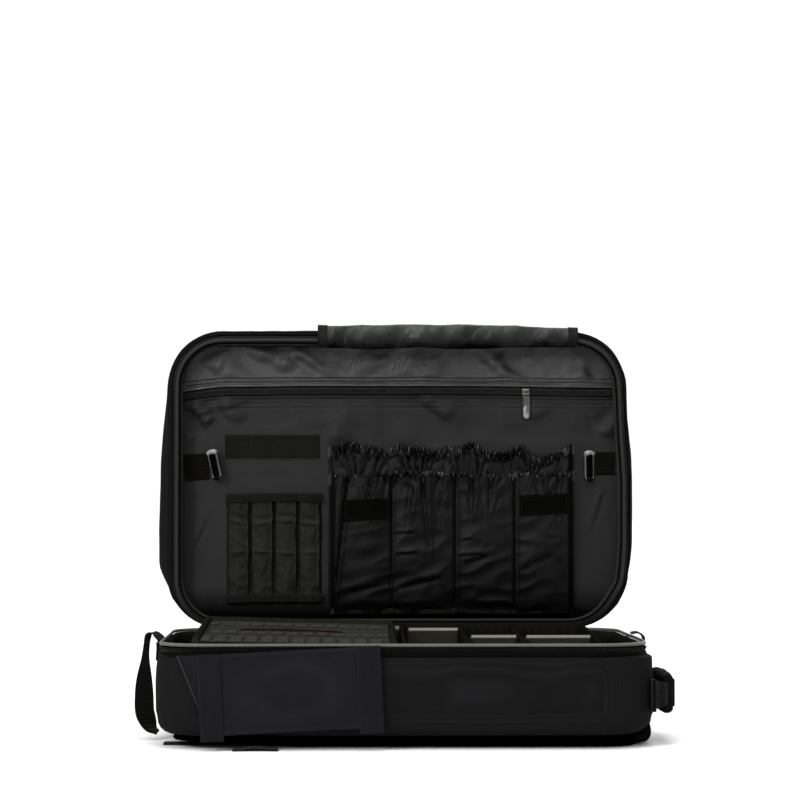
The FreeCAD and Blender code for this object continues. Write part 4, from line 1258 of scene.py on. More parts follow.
_lo, _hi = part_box("lid_outer_shell")
LID_SIDE = RIM_X[0] - _lo.x
LID_TOP = _hi.z - (LID_Z + RIM_Y[1] - RIM_Y[0])
LID_BACK = _hi.y - LID_Y
LID_START = _lo.y - LID_Y
LID_HINGE = 0.002
high = LID_Z + RIM_Y[1] - RIM_P[:, 1]
left_swell = LID_SIDE * (0.32 + 0.68 * soft(high, 0.132, 0.176)) * (1 - 0.50 * soft(high, 0.24, 0.41))
right_swell = LID_SIDE * (0.42 + 0.58 * soft(high, 0.125, 0.200)) * (1 - 0.80 * soft(high, 0.27, 0.42))
reach = side_mix(RIM_N, left_swell, right_swell, LID_TOP, LID_HINGE)
soft_noise = rim_noise(0.09, 21.0)
fine_noise = rim_noise(0.028, 5.5)
side_amount = side_mix(RIM_N, 1, 1, 1, 0.1)


# outer skin from the rim seam round to the back, then in along the back panel: (how far out, how far back)
profile = [(0.006, LID_START - 0.0020), (0.010, LID_START - 0.0035),
           (reach * 0.55 + 0.004, LID_START - 0.0022), (reach * 0.86, LID_START + 0.0020),
           (reach * 0.975, LID_START + 0.0065), (reach, LID_START + 0.0120),
           (reach * 0.995, LID_START + 0.0200), (reach * 0.955, LID_START + 0.0280),
           (reach * 0.84 - 0.0005, LID_START + 0.0340), (reach * 0.60 - 0.002, LID_BACK - 0.0022),
           (reach * 0.25 - 0.005, LID_BACK - 0.0004)]
shell = Shape()
rings = []
for k, (offset, depth) in enumerate(profile):
    strength = side_amount * (0.0022 if 2 < k < 9 else 0.0006)
    offset = np.minimum(offset, reach + 0.0006) if k > 3 else np.minimum(offset, reach + 0.0025)
    offset = offset + strength * soft_noise(depth) + strength * 0.35 * fine_noise(depth * 3)
    rings.append(lid_ring(offset, depth, spread=max(0.0, 1 - 0.28 * k)))
back_mid = rings[-1].mean(0)
for k, shrink in enumerate((0.93, 0.85, 0.72, 0.55, 0.36, 0.18, 0.05)):
    ring = back_mid + (rings[len(profile) - 1] - back_mid) * shrink
    ring[:, 1] = LID_Y + LID_BACK - 0.0003 + 0.0016 * (1 - shrink) \
        + np.array([wobble(p[0], p[2], 1.0, 0.11, 2.0) for p in ring]) * 0.0014
    rings.append(ring)
inner = [(0.006, LID_START + 0.0015), (-0.004, LID_START + 0.0025), (-0.004, LID_BACK - 0.010)]
rings = [lid_ring(np.minimum(o, reach), d) for o, d in inner[::-1]] + rings
shell.loft(rings)
lid_shell = shell.make("lid_shell_cloth", "lid", "body_fabric", BODY, ["lid_outer_shell", "lid_padding"])

LINER_IN = 0.0027
inner_face, outer_face = [], []
for t in np.linspace(0, 1, 12):
    d = 0.0024 + t * (LINING_D - 0.0019)
    slump = 0.0012 * math.sin(t * math.pi) + 0.0006 * soft_noise(0.2 + t * 0.03)
    inner_face.append(lid_ring(-LINER_IN - 0.0014 - slump, d))
    outer_face.append(lid_ring(-LINER_IN + 0.0002, d))
walls = Shape()
walls.sheet(np.array(inner_face), np.array(outer_face), wrap=True)
# painted shade: the lid's inner wall is drawn in the black zipper cloth, standing in for its shade
walls.make("lid_liner_wall", "lid", "lining_fabric", ZIP, ["lid_liner"])


def piping_rim(name, node, body, maker, plane, thick, cloth):
    """Cord in a cloth cover round a rim."""
    fine = np.array([wobble(p[0], p[1], plane, 0.012, 4.0) for p in RIM_P])
    slow = np.array([wobble(p[0], p[1], plane, 0.07, 9.0) for p in RIM_P])
    shape = Shape()
    shape.tube(maker(0.0003 * slow, plane), thick * PIPE * (0.97 + 0.05 * fine), 12, closed=True)
    shape.make(name, body, "piping", cloth, [node])


piping_rim("lid_rim_cord", "lid_rim_piping", "lid", lid_ring, 0.0, 1.0, LID_PIPING)
# the base cord's bright cloth is a painted highlight
piping_rim("base_rim_cord", "base_rim_piping", "base", base_ring, RIM_Z + 0.0006, 0.80, PIPING)


def zip_band(name, node, body, near, far):
    """Zipper tape round the opening sides, its coil along the rim edge."""
    keep = RIM_P[:, 1] < RIM_Y[1] - RIM_R + 0.006
    start = int(np.argmax(~keep))
    order = [k for k in np.roll(np.arange(len(RIM_P)), -start) if keep[k]]
    points, normals = RIM_P[order], RIM_N[order]
    maker = base_ring if body == "base" else lid_ring
    shape = Shape()
    outer, inner = [], []
    for t in np.linspace(0, 1, 7):
        wave = np.array([wobble(p[0], p[1], t * 0.02, 0.04, 3.0) for p in points]) * 0.0006
        h = near + (far - near) * t
        bow = 0.0006 * math.sin(t * math.pi)
        outer.append(maker(0.0006 + bow + wave, h, points, normals))
        inner.append(maker(-0.0006 + bow + wave, h, points, normals))
    shape.sheet(np.array(outer), np.array(inner))
    edge = maker(0.0009, near + (far - near) * 0.16, points, normals)
    dense = smooth_path(edge, len(edge) * 8)
    length = np.concatenate([[0], np.cumsum(np.linalg.norm(np.diff(dense, axis=0), axis=1))])
    turns = length / 0.0020 * 2 * math.pi
    fine = np.arange(0, length[-1], 0.0020 / 6)
    path = np.array([np.interp(fine, length, dense[:, k]) for k in range(3)]).T
    angle = np.interp(fine, length, turns)
    many = np.repeat(normals, 8, axis=0)[:len(length)]
    normal = np.array([np.interp(fine, length, many[:, k]) for k in range(2)]).T
    out3 = np.column_stack([normal, np.zeros(len(fine))]) if body == "base" \
        else np.column_stack([normal[:, 0], np.zeros(len(fine)), -normal[:, 1]])
    up3 = np.array([(0, 0, 1.0)]) if body == "base" else np.array([(0, 1.0, 0)])
    path = path + out3 * (0.0007 * np.cos(angle))[:, None] + up3 * (0.0013 * np.sin(angle))[:, None]
    shape.tube(path, 0.00042, 4, mat=1)
    return shape.make(name, body, "zipper", [ZIP, ZIP_FACE], [node])


zip_band("lid_zip_band", "lid_zipper_tape", "lid", 0.0026, 0.0108)
zip_band("base_zip_band", "base_zipper_tape", "base", RIM_Z - 0.0026, RIM_Z - 0.0108)


# ---------------------------------------------------------------- flap

lo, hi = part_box("lid_flap")
FLAP = (lo.x - MID_X, hi.x - MID_X)
rows, cols = 56, 190
# bulges and dents of the flap's hanging part: (place, width, amount)
PEAKS = [(-0.0376, 0.020, 0.0050), (0.0248, 0.020, 0.0042), (0.1025, 0.026, 0.0055), (0.165, 0.016, 0.0030),
         (-0.070, 0.012, 0.0030)]
VALLEYS = [(0.0029, 0.011, 0.0040), (0.085, 0.012, 0.0042), (-0.056, 0.009, 0.0028), (0.142, 0.012, 0.0036),
           (0.052, 0.008, 0.0022), (0.182, 0.007, 0.0024)]


def flap_points(x, s):
    """Profile of the flap: s runs from its seam over the lid's edge to the hanging hem."""
    arc = 0.0014 * np.sin((x - FLAP[0]) / (FLAP[1] - FLAP[0]) * math.pi) - 0.0026 * soft(x, 0.10, 0.195)
    top, turn = 0.60, 0.70
    run = np.clip(s / top, 0, 1)
    depth = 0.0425 - 0.0445 * run
    z = 0.4320 + 0.0030 * run ** 2 + 0.0004 * np.sin(run * math.pi * 3)
    z = z + arc * run
    bend = np.clip((s - top) / (turn - top), 0, 1)
    depth = depth - 0.0022 * np.sin(bend * math.pi / 2)
    z = z - 0.0022 * (1 - np.cos(bend * math.pi / 2))
    drop = np.clip((s - turn) / (1 - turn), 0, 1)
    low = 0.4108 + 0.0035 * soft(x, 0.10, 0.195) + 0.0010 * np.sin(x * 60)
    z = z * (1 - drop) + low * drop
    tuck = 0.0056 * drop ** 1.2
    out = np.zeros_like(x)
    for centre, width, amount in PEAKS:
        spread = width * (0.30 + 1.25 * drop)
        peak = np.clip(1 - np.abs(x - centre) / spread, 0, 1) ** 0.9
        out = out + 1.5 * amount * peak * np.sin(drop * math.pi * 0.62)
    for centre, width, amount in VALLEYS:
        spread = width * (1.5 - 0.9 * drop)
        out = out - amount * np.clip(1 - np.abs(x - centre) / spread, 0, 1) * np.sin(drop * math.pi * 0.9)
    out = out + ridge_grid(x, z, 0.030, 6.4) * 0.0006 * drop
    lean = 0.0026 * np.sin(drop * math.pi * 0.9)
    depth = depth - np.clip(out, -0.003, 0.0075) - lean * 1.6 + tuck - 0.0012 * bend
    crumple = ridge_grid(x, depth * 1.4, 0.034, 2.7) * 0.0007 * run * (1 - drop)
    return on_lid(x, z + crumple, depth)


x, s = field(FLAP[0], FLAP[1], cols, 0, 1, rows)
front = flap_points(x, s)
pins = np.zeros(x.shape)
pins[:3] = 1
pins[int(rows * 0.56):int(rows * 0.66)] = 0.35
front = settle(front, pins, 0.010, 1.6, 20, 0.0007)
step_u = np.gradient(front, axis=1)
step_v = np.gradient(front, axis=0)
normal = np.cross(step_u, step_v)
normal /= np.linalg.norm(normal, axis=-1, keepdims=True)
if normal[rows - 4, cols // 2, 1] < 0:
    normal = -normal
flap = Shape()
flap.sheet(front, front + normal * 0.0009)
for col0, col1 in ((0, 7), (cols - 8, cols - 1)):
    span = front[:, col0:col1 + 1]
    flap.sheet(span - normal[:, col0:col1 + 1] * 0.0008, span + normal[:, col0:col1 + 1] * 0.0017, 1)
    for col in (col0 + 1, col1 - 1):
        flap.stitches(front[:, col] - normal[:, col] * 0.0010, 0.0024, 0.0012, 0.00032, 2)
span = front[rows - 5:, :]
flap.sheet(span - normal[rows - 5:] * 0.0007, span + normal[rows - 5:] * 0.0016, 0)
flap.stitches(front[rows - 4] - normal[rows - 4] * 0.0010, 0.0026, 0.0013, 0.00030, 2)
flap_mats = [NYLON, NYLON_EDGE, DARK_THREAD]
cover_flap = flap.make("cover_flap_cloth", "flap", "coated_nylon", flap_mats, ["lid_flap"])


# ---------------------------------------------------------------- base shell and liner

_lo, _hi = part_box("base_outer_shell")
BASE_L, BASE_R = RIM_X[0] - _lo.x, _hi.x - RIM_X[1]
BASE_F = RIM_Y[0] - _lo.y
FLOOR_Z, TOP_Z = _lo.z, _hi.z
reach_b = side_mix(RIM_N, BASE_L, BASE_R, BASE_F, 0.002)
quiet = side_mix(RIM_N, 1, 1, 1, 0.05)
noise_a = rim_noise(0.075, 31.0)
noise_b = rim_noise(0.024, 12.5)


def base_skin():
    """Rings of the outer tub from the middle of its bottom up to its top edge and in."""
    rings = []
    low = [(-0.020, 0.0002, 0.0), (-0.013, 0.0008, 0.1), (-0.0075, 0.0030, 0.3),
           (-0.0036, 0.0066, 0.6), (-0.0012, 0.0115, 0.8), (-0.0002, 0.0180, 1.0)]
    high = [(-0.0002, -0.0055, 0.8), (-0.0010, -0.0020, 0.6), (-0.0026, -0.0002, 0.4), (-0.0050, 0.0006, 0.3)]
    profile = [(inset, FLOOR_Z + up, k) for inset, up, k in low]
    profile += [(0.0004, z, 1.0) for z in np.linspace(FLOOR_Z + 0.024, TOP_Z - 0.012, 10)]
    profile += [(inset, TOP_Z + up, k) for inset, up, k in high]
    for inset, z, k in profile:
        share = 1.0 if z > FLOOR_Z + 0.02 else 0.8
        sag = -0.0016 * soft(z, TOP_Z - 0.030, TOP_Z) * quiet
        strength = k * quiet * 0.0010
        side = 0.0046 * np.clip(RIM_N[:, 0], 0, 1) ** 2 * (1 - soft(z, 0.058, 0.085))
        side = side * soft(z, FLOOR_Z - 0.002, FLOOR_Z + 0.014)
        rough = strength * noise_a(z) + strength * 0.35 * noise_b(z * 1.2)
        offset = reach_b * share + side + inset + sag + rough
        top = 0.35 if z > TOP_Z - 0.001 else 1.0
        rings.append(base_ring(offset * top + (1 - top) * 0.002, z))
    return rings


rings = base_skin()
bottoms = closing(rings[0], rings[0].mean(0), (0.15, 0.4, 0.65, 0.85))
inner = [base_ring(0.0006, TOP_Z - 0.002), base_ring(-0.0022, TOP_Z - 0.010),
         base_ring(-0.0022, FLOOR_Z + 0.012)]
shell = Shape()
shell.loft(bottoms + rings + inner)
base_shell = shell.make("base_shell_cloth", "base", "body_fabric", BODY, ["base_outer_shell"])


BIND_HIGH = 0.0046


def edge_binding(name, body, maker, start, out, bow, level, cloth):
    """Binding between the shell and the zipper."""
    rough = 0.0004 * noise_b(level)
    shares = np.linspace(0, 1, 7)
    outer = [maker(out + bow * math.sin(t * math.pi) + rough, start + BIND_HIGH * t) for t in shares]
    inner = [maker(0.0006, start + BIND_HIGH * t) for t in shares]
    trim = Shape()
    trim.sheet(np.array(outer), np.array(inner), wrap=True)
    trim.make(name, body, "body_fabric", cloth)


# painted shade: the base binding is black, standing in for the dark recess under the rim cord
edge_binding("base_edge_binding", "base", base_ring, TOP_Z - 0.0010, 0.0016, 0.0010, 0.5, INK)
edge_binding("lid_edge_binding", "lid", lid_ring, LID_START - 0.0042, 0.0034, 0.0016, 0.7, BINDING)

_lo, _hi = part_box("base_liner")
liner = Shape()
PITCH = 0.014
arc_length = np.concatenate([[0], np.cumsum(np.linalg.norm(np.diff(RIM_P, axis=0), axis=1))])
ribs = 0.0012 * (np.abs(np.sin(arc_length * math.pi / PITCH)) ** 0.6 - 0.6)
rings = [base_ring(-0.0027, z) for z in np.linspace(_lo.z, _hi.z, 6)]
rings += [base_ring(-0.0012, RIM_Z - 0.0010), base_ring(-0.0034, RIM_Z - 0.0008)]
for k, z in enumerate(np.linspace(_hi.z - 0.001, _lo.z + 0.004, 16)):
    fade = soft(k, 0, 3)
    lean = 0.0020 * math.sin(k / 15 * math.pi)
    rings.append(base_ring(-0.0056 - lean - ribs * fade - 0.0010 * noise_b(z), z))
rings += closing(rings[-1], rings[-1].mean(0), (0.85, 0.6, 0.3, 0.05))
liner.loft(rings)
liner.make("base_liner_cloth", "base", "lining_fabric", TUB, ["base_liner"], angle=75)


# ---------------------------------------------------------------- boxes and dividers

SLOPE = 1.3


def wall_box(name, node, body, cloth, slope_deg=0.0, low_front=0.0):
    """Padded open box: soft outer walls, ribbed inner walls, a floor and a bound top edge."""
    lo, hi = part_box(node)
    wall, rib_pitch = 0.005, 0.0098
    slope = math.tan(math.radians(slope_deg))
    front_top = hi.z - slope * (hi.y - lo.y)

    def top_at(q):
        dip = low_front * (1 - soft(q[:, 1], lo.y + 0.002, lo.y + 0.028))
        return front_top + slope * (q[:, 1] - lo.y) - dip

    ip, inn = outline((lo.x + wall, hi.x - wall), (lo.y + wall, hi.y - wall), 0.0025, 0.0012)
    p, n = outline((lo.x + 0.0004, hi.x - 0.0004), (lo.y + 0.0004, hi.y - 0.0004), 0.006, 0.0035)
    p, n = [v[np.array([np.argmin(((p - q) ** 2).sum(1)) for q in ip])] for v in (p, n)]
    run = np.where(np.abs(inn[:, 0]) > np.abs(inn[:, 1]), ip[:, 1], ip[:, 0])
    near_seam = np.abs(((run / rib_pitch) % 1) - 0.5) * rib_pitch
    groove = 0.0016 * np.exp(-(near_seam / 0.0008) ** 2) - 0.0004 * np.cos(run / rib_pitch * 2 * math.pi)
    rings = []
    for t in (0.0, 0.03, 0.1, 0.25, 0.45, 0.65, 0.82, 0.93, 0.985, 1.0):
        pull_in = -0.0016 * (1 - min(1.0, t / 0.06)) - 0.0014 * max(0.0, (t - 0.955) / 0.045) ** 2
        q = p + n * (pull_in - 0.0007 * math.sin(t * math.pi))
        rings.append(np.column_stack([q, lo.z + (top_at(q) - lo.z) * t]))
    for t in (1.0, 0.975, 0.94, 0.9, 0.6, 0.3, 0.06):
        inset = 0.0014 * max(0.0, (t - 0.955) / 0.045) ** 2
        q = ip + inn * (inset + groove * (t < 0.93))[:, None]
        rings.append(np.column_stack([q, lo.z + 0.003 + (top_at(q) - lo.z - 0.003) * t]))
    shape = Shape()
    shape.loft(rings)
    return shape.make(name, body, "padding", cloth, [node], angle=60)


left_box = wall_box("left_box_pad", "left_box", "left_box", BOX_PAD)
right_box = wall_box("right_box_pad", "right_box", "right_box", BOX_PAD, SLOPE, 0.0042)


def divider(name, node, body, seed):
    """Foam divider in a cloth cover, with a bound top edge."""
    lo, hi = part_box(node)
    slope = math.tan(math.radians(SLOPE))
    long_way = (hi.y - lo.y) > (hi.x - lo.x)
    shape = Shape()
    axis = 0 if long_way else 1

    def push(p, n):
        out = p.copy()
        w = np.array([wobble(*q, 0.06, seed) for q in p])
        out[:, axis] += n[:, axis] * 0.0003 * w
        mid_v = (lo[axis] + hi[axis]) / 2
        height = (p[:, 2] - lo.z) / (hi.z - lo.z)
        out[:, axis] += 0.0006 * w * np.sin(height * math.pi) * 0.3
        drop = slope * (hi.y - p[:, 1])
        out[:, 2] -= drop * height
        pinch = 1 - 0.18 * np.clip((height - 0.93) / 0.07, 0, 1)
        if long_way:
            pinch = pinch * (1 + 1.5 * (1 - soft(p[:, 1], lo.y, -0.055)) ** 1.4)
            out[:, 2] -= 0.0026 * (1 - soft(p[:, 1], lo.y, lo.y + 0.03)) * height
        out[:, axis] = mid_v + (out[:, axis] - mid_v) * pinch
        out[:, 0] += 0.0032 * (1 - soft(p[:, 1], -0.15, -0.02)) if long_way else 0.0030
        return out

    pad_box(shape, lo, hi, 0.0028, 0.008, push)
    if not long_way:
        top_z = hi.z - slope * (hi.y - lo.y) / 2 - 0.0019
        xs = np.linspace(lo.x + 0.002, hi.x - 0.002, 20) + 0.0030
        # the top binding is drawn in the bright cloth, a painted highlight for the light on the divider's top
        # edge
        shape.tube([(x, (lo.y + hi.y) / 2, top_z) for x in xs], 0.0031, 10, flat=0.72, mat=1)
    cloth = BOX_PAD if long_way else PAD
    piece = shape.make(name, body, "padding", [cloth, PAD_TOP], [node])
    return piece


for k, part in enumerate(("long_divider_left", "long_divider_right", "cross_divider_left",
                          "cross_divider_middle", "cross_divider_right")):
    divider(part + "_pad", part, part, 3.0 + k)


# ---------------------------------------------------------------- pallet

P_LO, P_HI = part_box("left_box")
S_BACK, S_LEFT = math.tan(math.radians(1.6)), math.tan(math.radians(1.5))
PALLET_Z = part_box("pallet_board")[0].z


def on_pallet(x, y, h):
    """Point on the sloping pallet: height h above its underside."""
    x, y, h = np.broadcast_arrays(np.asarray(x, float), y, h)
    z = PALLET_Z + h + (y - P_LO.y) * S_BACK + (P_HI.x - x) * S_LEFT
    return np.stack([x, y, z], axis=-1)


board = Shape()
nx, ny = 120, 150
x = np.linspace(0, 1, nx)
y = np.linspace(0, 1, ny)


def crowd(t, edge):
    """Crowds the lines of a grid from 0 to 1 towards both ends."""
    return t - edge * np.sin(2 * math.pi * t)


X = P_LO.x + (P_HI.x - P_LO.x) * crowd(x, 0.045)[None, :] * np.ones((ny, 1))
Y = P_LO.y + (P_HI.y - P_LO.y) * crowd(y, 0.045)[:, None] * np.ones((1, nx))
edge = np.minimum(np.minimum(X - P_LO.x, P_HI.x - X), P_HI.y - Y)
border = 0.0085
H = 0.0062 + 0.0050 * np.sqrt(np.clip(1 - ((edge - border / 2) / (border / 2)) ** 2, 0, 1)) * (edge < border)
H = np.where(edge < 0.0004, 0.0058, H)
H = H + np.where(edge > border, 0.0004 * wobble_grid(X, Y, 0.03, 2.0), 0.0006 * wobble_grid(X, Y, 0.014, 4.0))
H = H - 0.0012 * np.exp(-((edge - border - 0.0006) / 0.0012) ** 2)
in_front = Y - P_LO.y
limit = 0.0064 - 0.0030 * (1 - np.clip(in_front / 0.003, 0, 1)) ** 2
limit = limit + 0.0050 * np.clip(in_front / 0.012, 0, 1)
H = np.minimum(H, limit)
top = on_pallet(X, Y, H)
low = on_pallet(X, Y, 0.0004 + 0.0016 * np.clip(1 - edge / 0.003, 0, 1))
board.sheet(top, low)
pallet = board.make("pallet_pad", "pallet", "padding", PALLET, ["pallet_board"])
seam = Shape()
ring, _ = outline((P_LO.x + 0.0088, P_HI.x - 0.0088), (P_LO.y + 0.0088, P_HI.y - 0.0088), 0.003, 0.005)
seam.stitches(on_pallet(ring[:, 0], ring[:, 1], 0.0064), 0.0026, 0.0014, 0.0003)
seam.make("pallet_stitching", "pallet", "padding", PAD_TOP)

tiles = Shape()
left, right = P_LO.x + 0.009, P_HI.x - 0.009
count = 12
pitch = (right - left) / count
for row, (y0, y1) in enumerate(((-0.1655, -0.096), (-0.0700, -0.0300), (0.0330, 0.0790))):
    ya, yb = y0 + 0.0030, y1 - 0.0030
    for n in range(count):
        shift = pitch * 0.5 * (row % 2) - pitch * 0.25
        a = max(left + n * pitch + 0.0015 + shift, left)
        b = min(left + (n + 1) * pitch - 0.0026 + shift, right)
        u, v = field(0, 1, 13, 0, 1, 17)
        high = 0.0022 * rng.uniform(0.75, 1.15)
        arch = np.sin(np.clip(u, 0.001, 0.999) * math.pi) ** 0.10
        ends = np.clip(np.minimum(v, 1 - v) / 0.12, 0, 1) ** 0.5
        skew = 0.0007 * rng.uniform(-1, 1)
        X = a + (b - a) * u + skew * (v - 0.5) * 2 * (u * (1 - u) * 4)
        Y = ya + (yb - ya) * v
        fine = 0.00018 * np.cos(v * (yb - ya) / 0.0024 * 2 * math.pi)
        h = 0.0064 + high * arch * (0.62 + 0.38 * ends) + fine
        tiles.sheet(on_pallet(X, Y, h), on_pallet(X, Y, 0.0058))
tiles.make("pallet_elastic_tiles", "pallet", "elastic", TILE, ["pallet_elastics"])
slit = Shape()
bed_x, bed_y = field(left - 0.001, right + 0.001, 60, P_LO.y + 0.0020, P_HI.y - 0.0085, 50)
bed_h = 0.0070 + 0.0002 * wobble_grid(bed_x, bed_y, 0.02, 3.0)
slit.sheet(on_pallet(bed_x, bed_y, bed_h), on_pallet(bed_x, bed_y, bed_h - 0.0010), 1)
x = np.linspace(left + 0.035, right - 0.048, 90)
yy = -0.034 + 0.016 * np.sin((x - x[0]) / (x[-1] - x[0]) * math.pi)
path = on_pallet(x, yy, 0.0090)
ribbon(slit, path, (0, 1, 0), 0.0060 * np.sin(np.linspace(0.05, 0.95, 90) * math.pi) ** 0.4, 0.0016)
slit.make("pallet_slit_lining", "pallet", "padding", [GROUND, BED])


# ---------------------------------------------------------------- handle

lo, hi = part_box("handle_webbing")
HZ, HY = (lo.z + hi.z) / 2, (lo.y + hi.y) / 2
WALL = RIM_X[1] + BASE_R
half = (hi.y - lo.y) / 2
# one half of the loop: (how far out from the wall, how far in from its end)
curve = [(0.0048, 0.0005), (0.0085, 0.006), (0.0150, 0.0125), (0.0183, 0.020), (0.0187, 0.032)]
knots = [(out, -half + back) for out, back in curve] + [(0.0187, 0.0)]
knots += [(out, half - back) for out, back in curve[::-1]]
path = smooth_path([(WALL + out, HY + y, HZ) for out, y in knots], 80)
web = Shape()
reach_y = np.abs(path[:, 1] - HY) / half
ribbon(web, path, (0, 0, 1), 0.020 + 0.008 * soft(reach_y, 0.70, 1.0), 0.0020, ribs=8, cells=20)
web.make("handle_web", "handle", "webbing", GRIP_WEB, ["handle_webbing"])

lo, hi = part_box("handle_grip")
hi.x -= 0.0050
grip = Shape()


def grip_push(p, n):
    """Swells the grip towards its middle and gives its skin a soft unevenness."""
    t = (p[:, 1] - lo.y) / (hi.y - lo.y)
    out = p + n * (0.0010 * np.sin(t * math.pi) ** 0.5 - 0.0010)[:, None]
    out = out + n * (0.0009 * np.array([wobble(q[0], q[1], q[2], 0.022, 8.0) for q in p]))[:, None]
    centre_z = (lo.z + hi.z) / 2
    out[:, 2] = centre_z + (out[:, 2] - centre_z) * (0.93 + 0.07 * np.sin(t * math.pi) ** 0.6)
    return out


pad_box(grip, lo, hi, 0.0062, 0.006, grip_push)
panel_lo = (hi.x - 0.0018, lo.y + 0.010, lo.z + 0.0075)
panel_hi = (hi.x + 0.0016, hi.y - 0.010, hi.z - 0.0065)
pad_box(grip, panel_lo, panel_hi, 0.0014, 0.008, None, 1)
y0, z0 = panel_lo[1] + 0.001, panel_lo[2] + 0.001
y1, z1 = panel_hi[1] - 0.001, panel_hi[2] - 0.001
rim = [(hi.x + 0.0012, y, z) for y, z in ((y0, z0), (y1, z0), (y1, z1), (y0, z1), (y0, z0))]
grip.stitch_chain(rim, 20, 0.0026, 0.0014, 0.00034, 2)
handle_grip = grip.make("handle_grip_pad", "handle", "padding", [GRIP, SATIN, THREAD], ["handle_grip"])

patches = Shape()
lo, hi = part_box("handle_patches")
for y0, y1 in ((lo.y, lo.y + 0.009), (hi.y - 0.009, hi.y)):
    pad_box(patches, (lo.x - 0.0006, y0 - 0.003, lo.z), (hi.x, y1 + 0.003, hi.z), 0.0012, 0.004)
    a, b, low, top = y0 - 0.001, y1 + 0.001, lo.z + 0.003, hi.z - 0.003
    q = [(hi.x + 0.0001, y, z) for y, z in ((a, low), (b, low), (b, top), (a, top), (a, low), (b, top))]
    patches.stitch_chain(q, 16, 0.0024, 0.0012, 0.00034, 1)
patches.make("handle_patch_pair", "base", "webbing", [WEB, THREAD], ["handle_patches"])


# ---------------------------------------------------------------- straps on the base

# the hanging loop, from its top to its end: (mm from the middle, mm high, degrees turned)
STRAP_RUN = [(-243.0, 102, 24), (-247.0, 106.5, 24), (-252.0, 109.6, 22), (-257.0, 107.5, 18), (-259, 98, 14),
             (-260.5, 82, 22), (-261.5, 62, 50), (-261.5, 44, 72), (-261.0, 30, 76),
             (-258.0, 20.5, 62), (-253.5, 12.5, 40), (-247.5, 7.5, 22)]
lo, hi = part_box("side_strap")
strap_y = (lo.y + hi.y) / 2
dense = smooth_path([(MID_X + x / 1000, strap_y, z / 1000, turn) for x, z, turn in STRAP_RUN], 90)
turn = np.radians(dense[:, 3])
across = np.column_stack([np.sin(turn), np.cos(turn), np.zeros(len(dense))])
strap = Shape()
width = 0.020 - 0.004 * soft(np.linspace(0, 1, 90), 0.9, 1.0)
ribbon(strap, dense[:, :3], across, width, 0.0017, ribs=5, cells=14)
strap.make("side_strap_web", "base", "webbing", WEB, ["side_strap"])

lo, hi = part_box("side_strap_anchor")
anchor = Shape()
pad_box(anchor, (lo.x + 0.0006, lo.y, lo.z), (hi.x + 0.0020, hi.y, hi.z - 0.004), 0.0008, 0.004,
        lambda p, n: p + n * (0.00035 * np.cos(p[:, 2] / 0.0036 * 2 * math.pi))[:, None] * np.abs(n[:, :1]))
anchor.make("side_strap_anchor_web", "base", "webbing", WEB, ["side_strap_anchor"])

lo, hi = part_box("side_loop_tab")
tab = Shape()
knots = [(lo.x + 0.0032, lo.z + 0.0010), (lo.x + 0.0056, lo.z + 0.0060), (lo.x + 0.0074, lo.z + 0.0100),
         (lo.x + 0.0050, lo.z + 0.0140), (lo.x + 0.0000, lo.z + 0.0162), (lo.x - 0.0055, lo.z + 0.0152)]
path = smooth_path([(x, (lo.y + hi.y) / 2, z) for x, z in knots], 50)
ribbon(tab, path, (0, 1, 0), hi.y - lo.y, 0.0020, ribs=7, cells=18)
tab.make("side_loop_tab_web", "base", "webbing", [WEB, THREAD], ["side_loop_tab"])

lo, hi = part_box("strap_end_tab")
end = Shape()
knots = [(lo.x - 0.010, lo.z + 0.0030), (lo.x + 0.002, lo.z + 0.0036), (hi.x - 0.0050, lo.z + 0.0050),
         (hi.x - 0.0016, lo.z + 0.0090), (hi.x - 0.0012, lo.z + 0.0150), (hi.x - 0.0026, lo.z + 0.0220)]
path = smooth_path([(x, (lo.y + hi.y) / 2, z) for x, z in knots], 60)
ribbon(end, path, (0, 1, 0), hi.y - lo.y, 0.0052, ribs=12, cells=30)
for layer in (1, 2):
    inner = path[:60 - 6 * layer].copy()
    inner[:, 0] -= 0.0046 * layer
    inner[:, 2] += 0.0034 * layer * np.clip((inner[:, 0] - inner[0, 0]) / 0.006, 0, 1)
    ribbon(end, inner, (0, 1, 0), (hi.y - lo.y) * (1 - 0.04 * layer), 0.0052, ribs=12, cells=30)
end.make("strap_end_tab_web", "base", "webbing", [WEB, THREAD], ["strap_end_tab"])

lo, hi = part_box("webbing_tail")
tail = Shape()
xs = np.linspace(lo.x, hi.x, 40)
rise = 0.0022 * np.sin((xs - lo.x) / (hi.x - lo.x) * math.pi) ** 2
path = np.column_stack([xs, (lo.y + hi.y) / 2 + 0 * xs, 0.0010 + rise])
ribbon(tail, path, (0, 1, 0), hi.y - lo.y, 0.0018, ribs=6, cells=16)
tail.make("webbing_tail_web", "base", "webbing", WEB_FLAT, ["webbing_tail"])


# ---------------------------------------------------------------- front sleeve

TILT = math.radians(2.9)
lo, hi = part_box("front_sleeve_panel")
FACE = lo.y
PIVOT = (MID_X - 0.110, 0.055)


def on_front(x, z, y):
    """Point on the sleeve, which is turned a little in the plane of the front."""
    x, z, y = np.broadcast_arrays(np.asarray(x, float), z, y)
    dx, dz = MID_X + x - PIVOT[0], z - PIVOT[1]
    return np.stack([PIVOT[0] + dx * math.cos(TILT) - dz * math.sin(TILT), y,
                     PIVOT[1] + dx * math.sin(TILT) + dz * math.cos(TILT)], axis=-1)


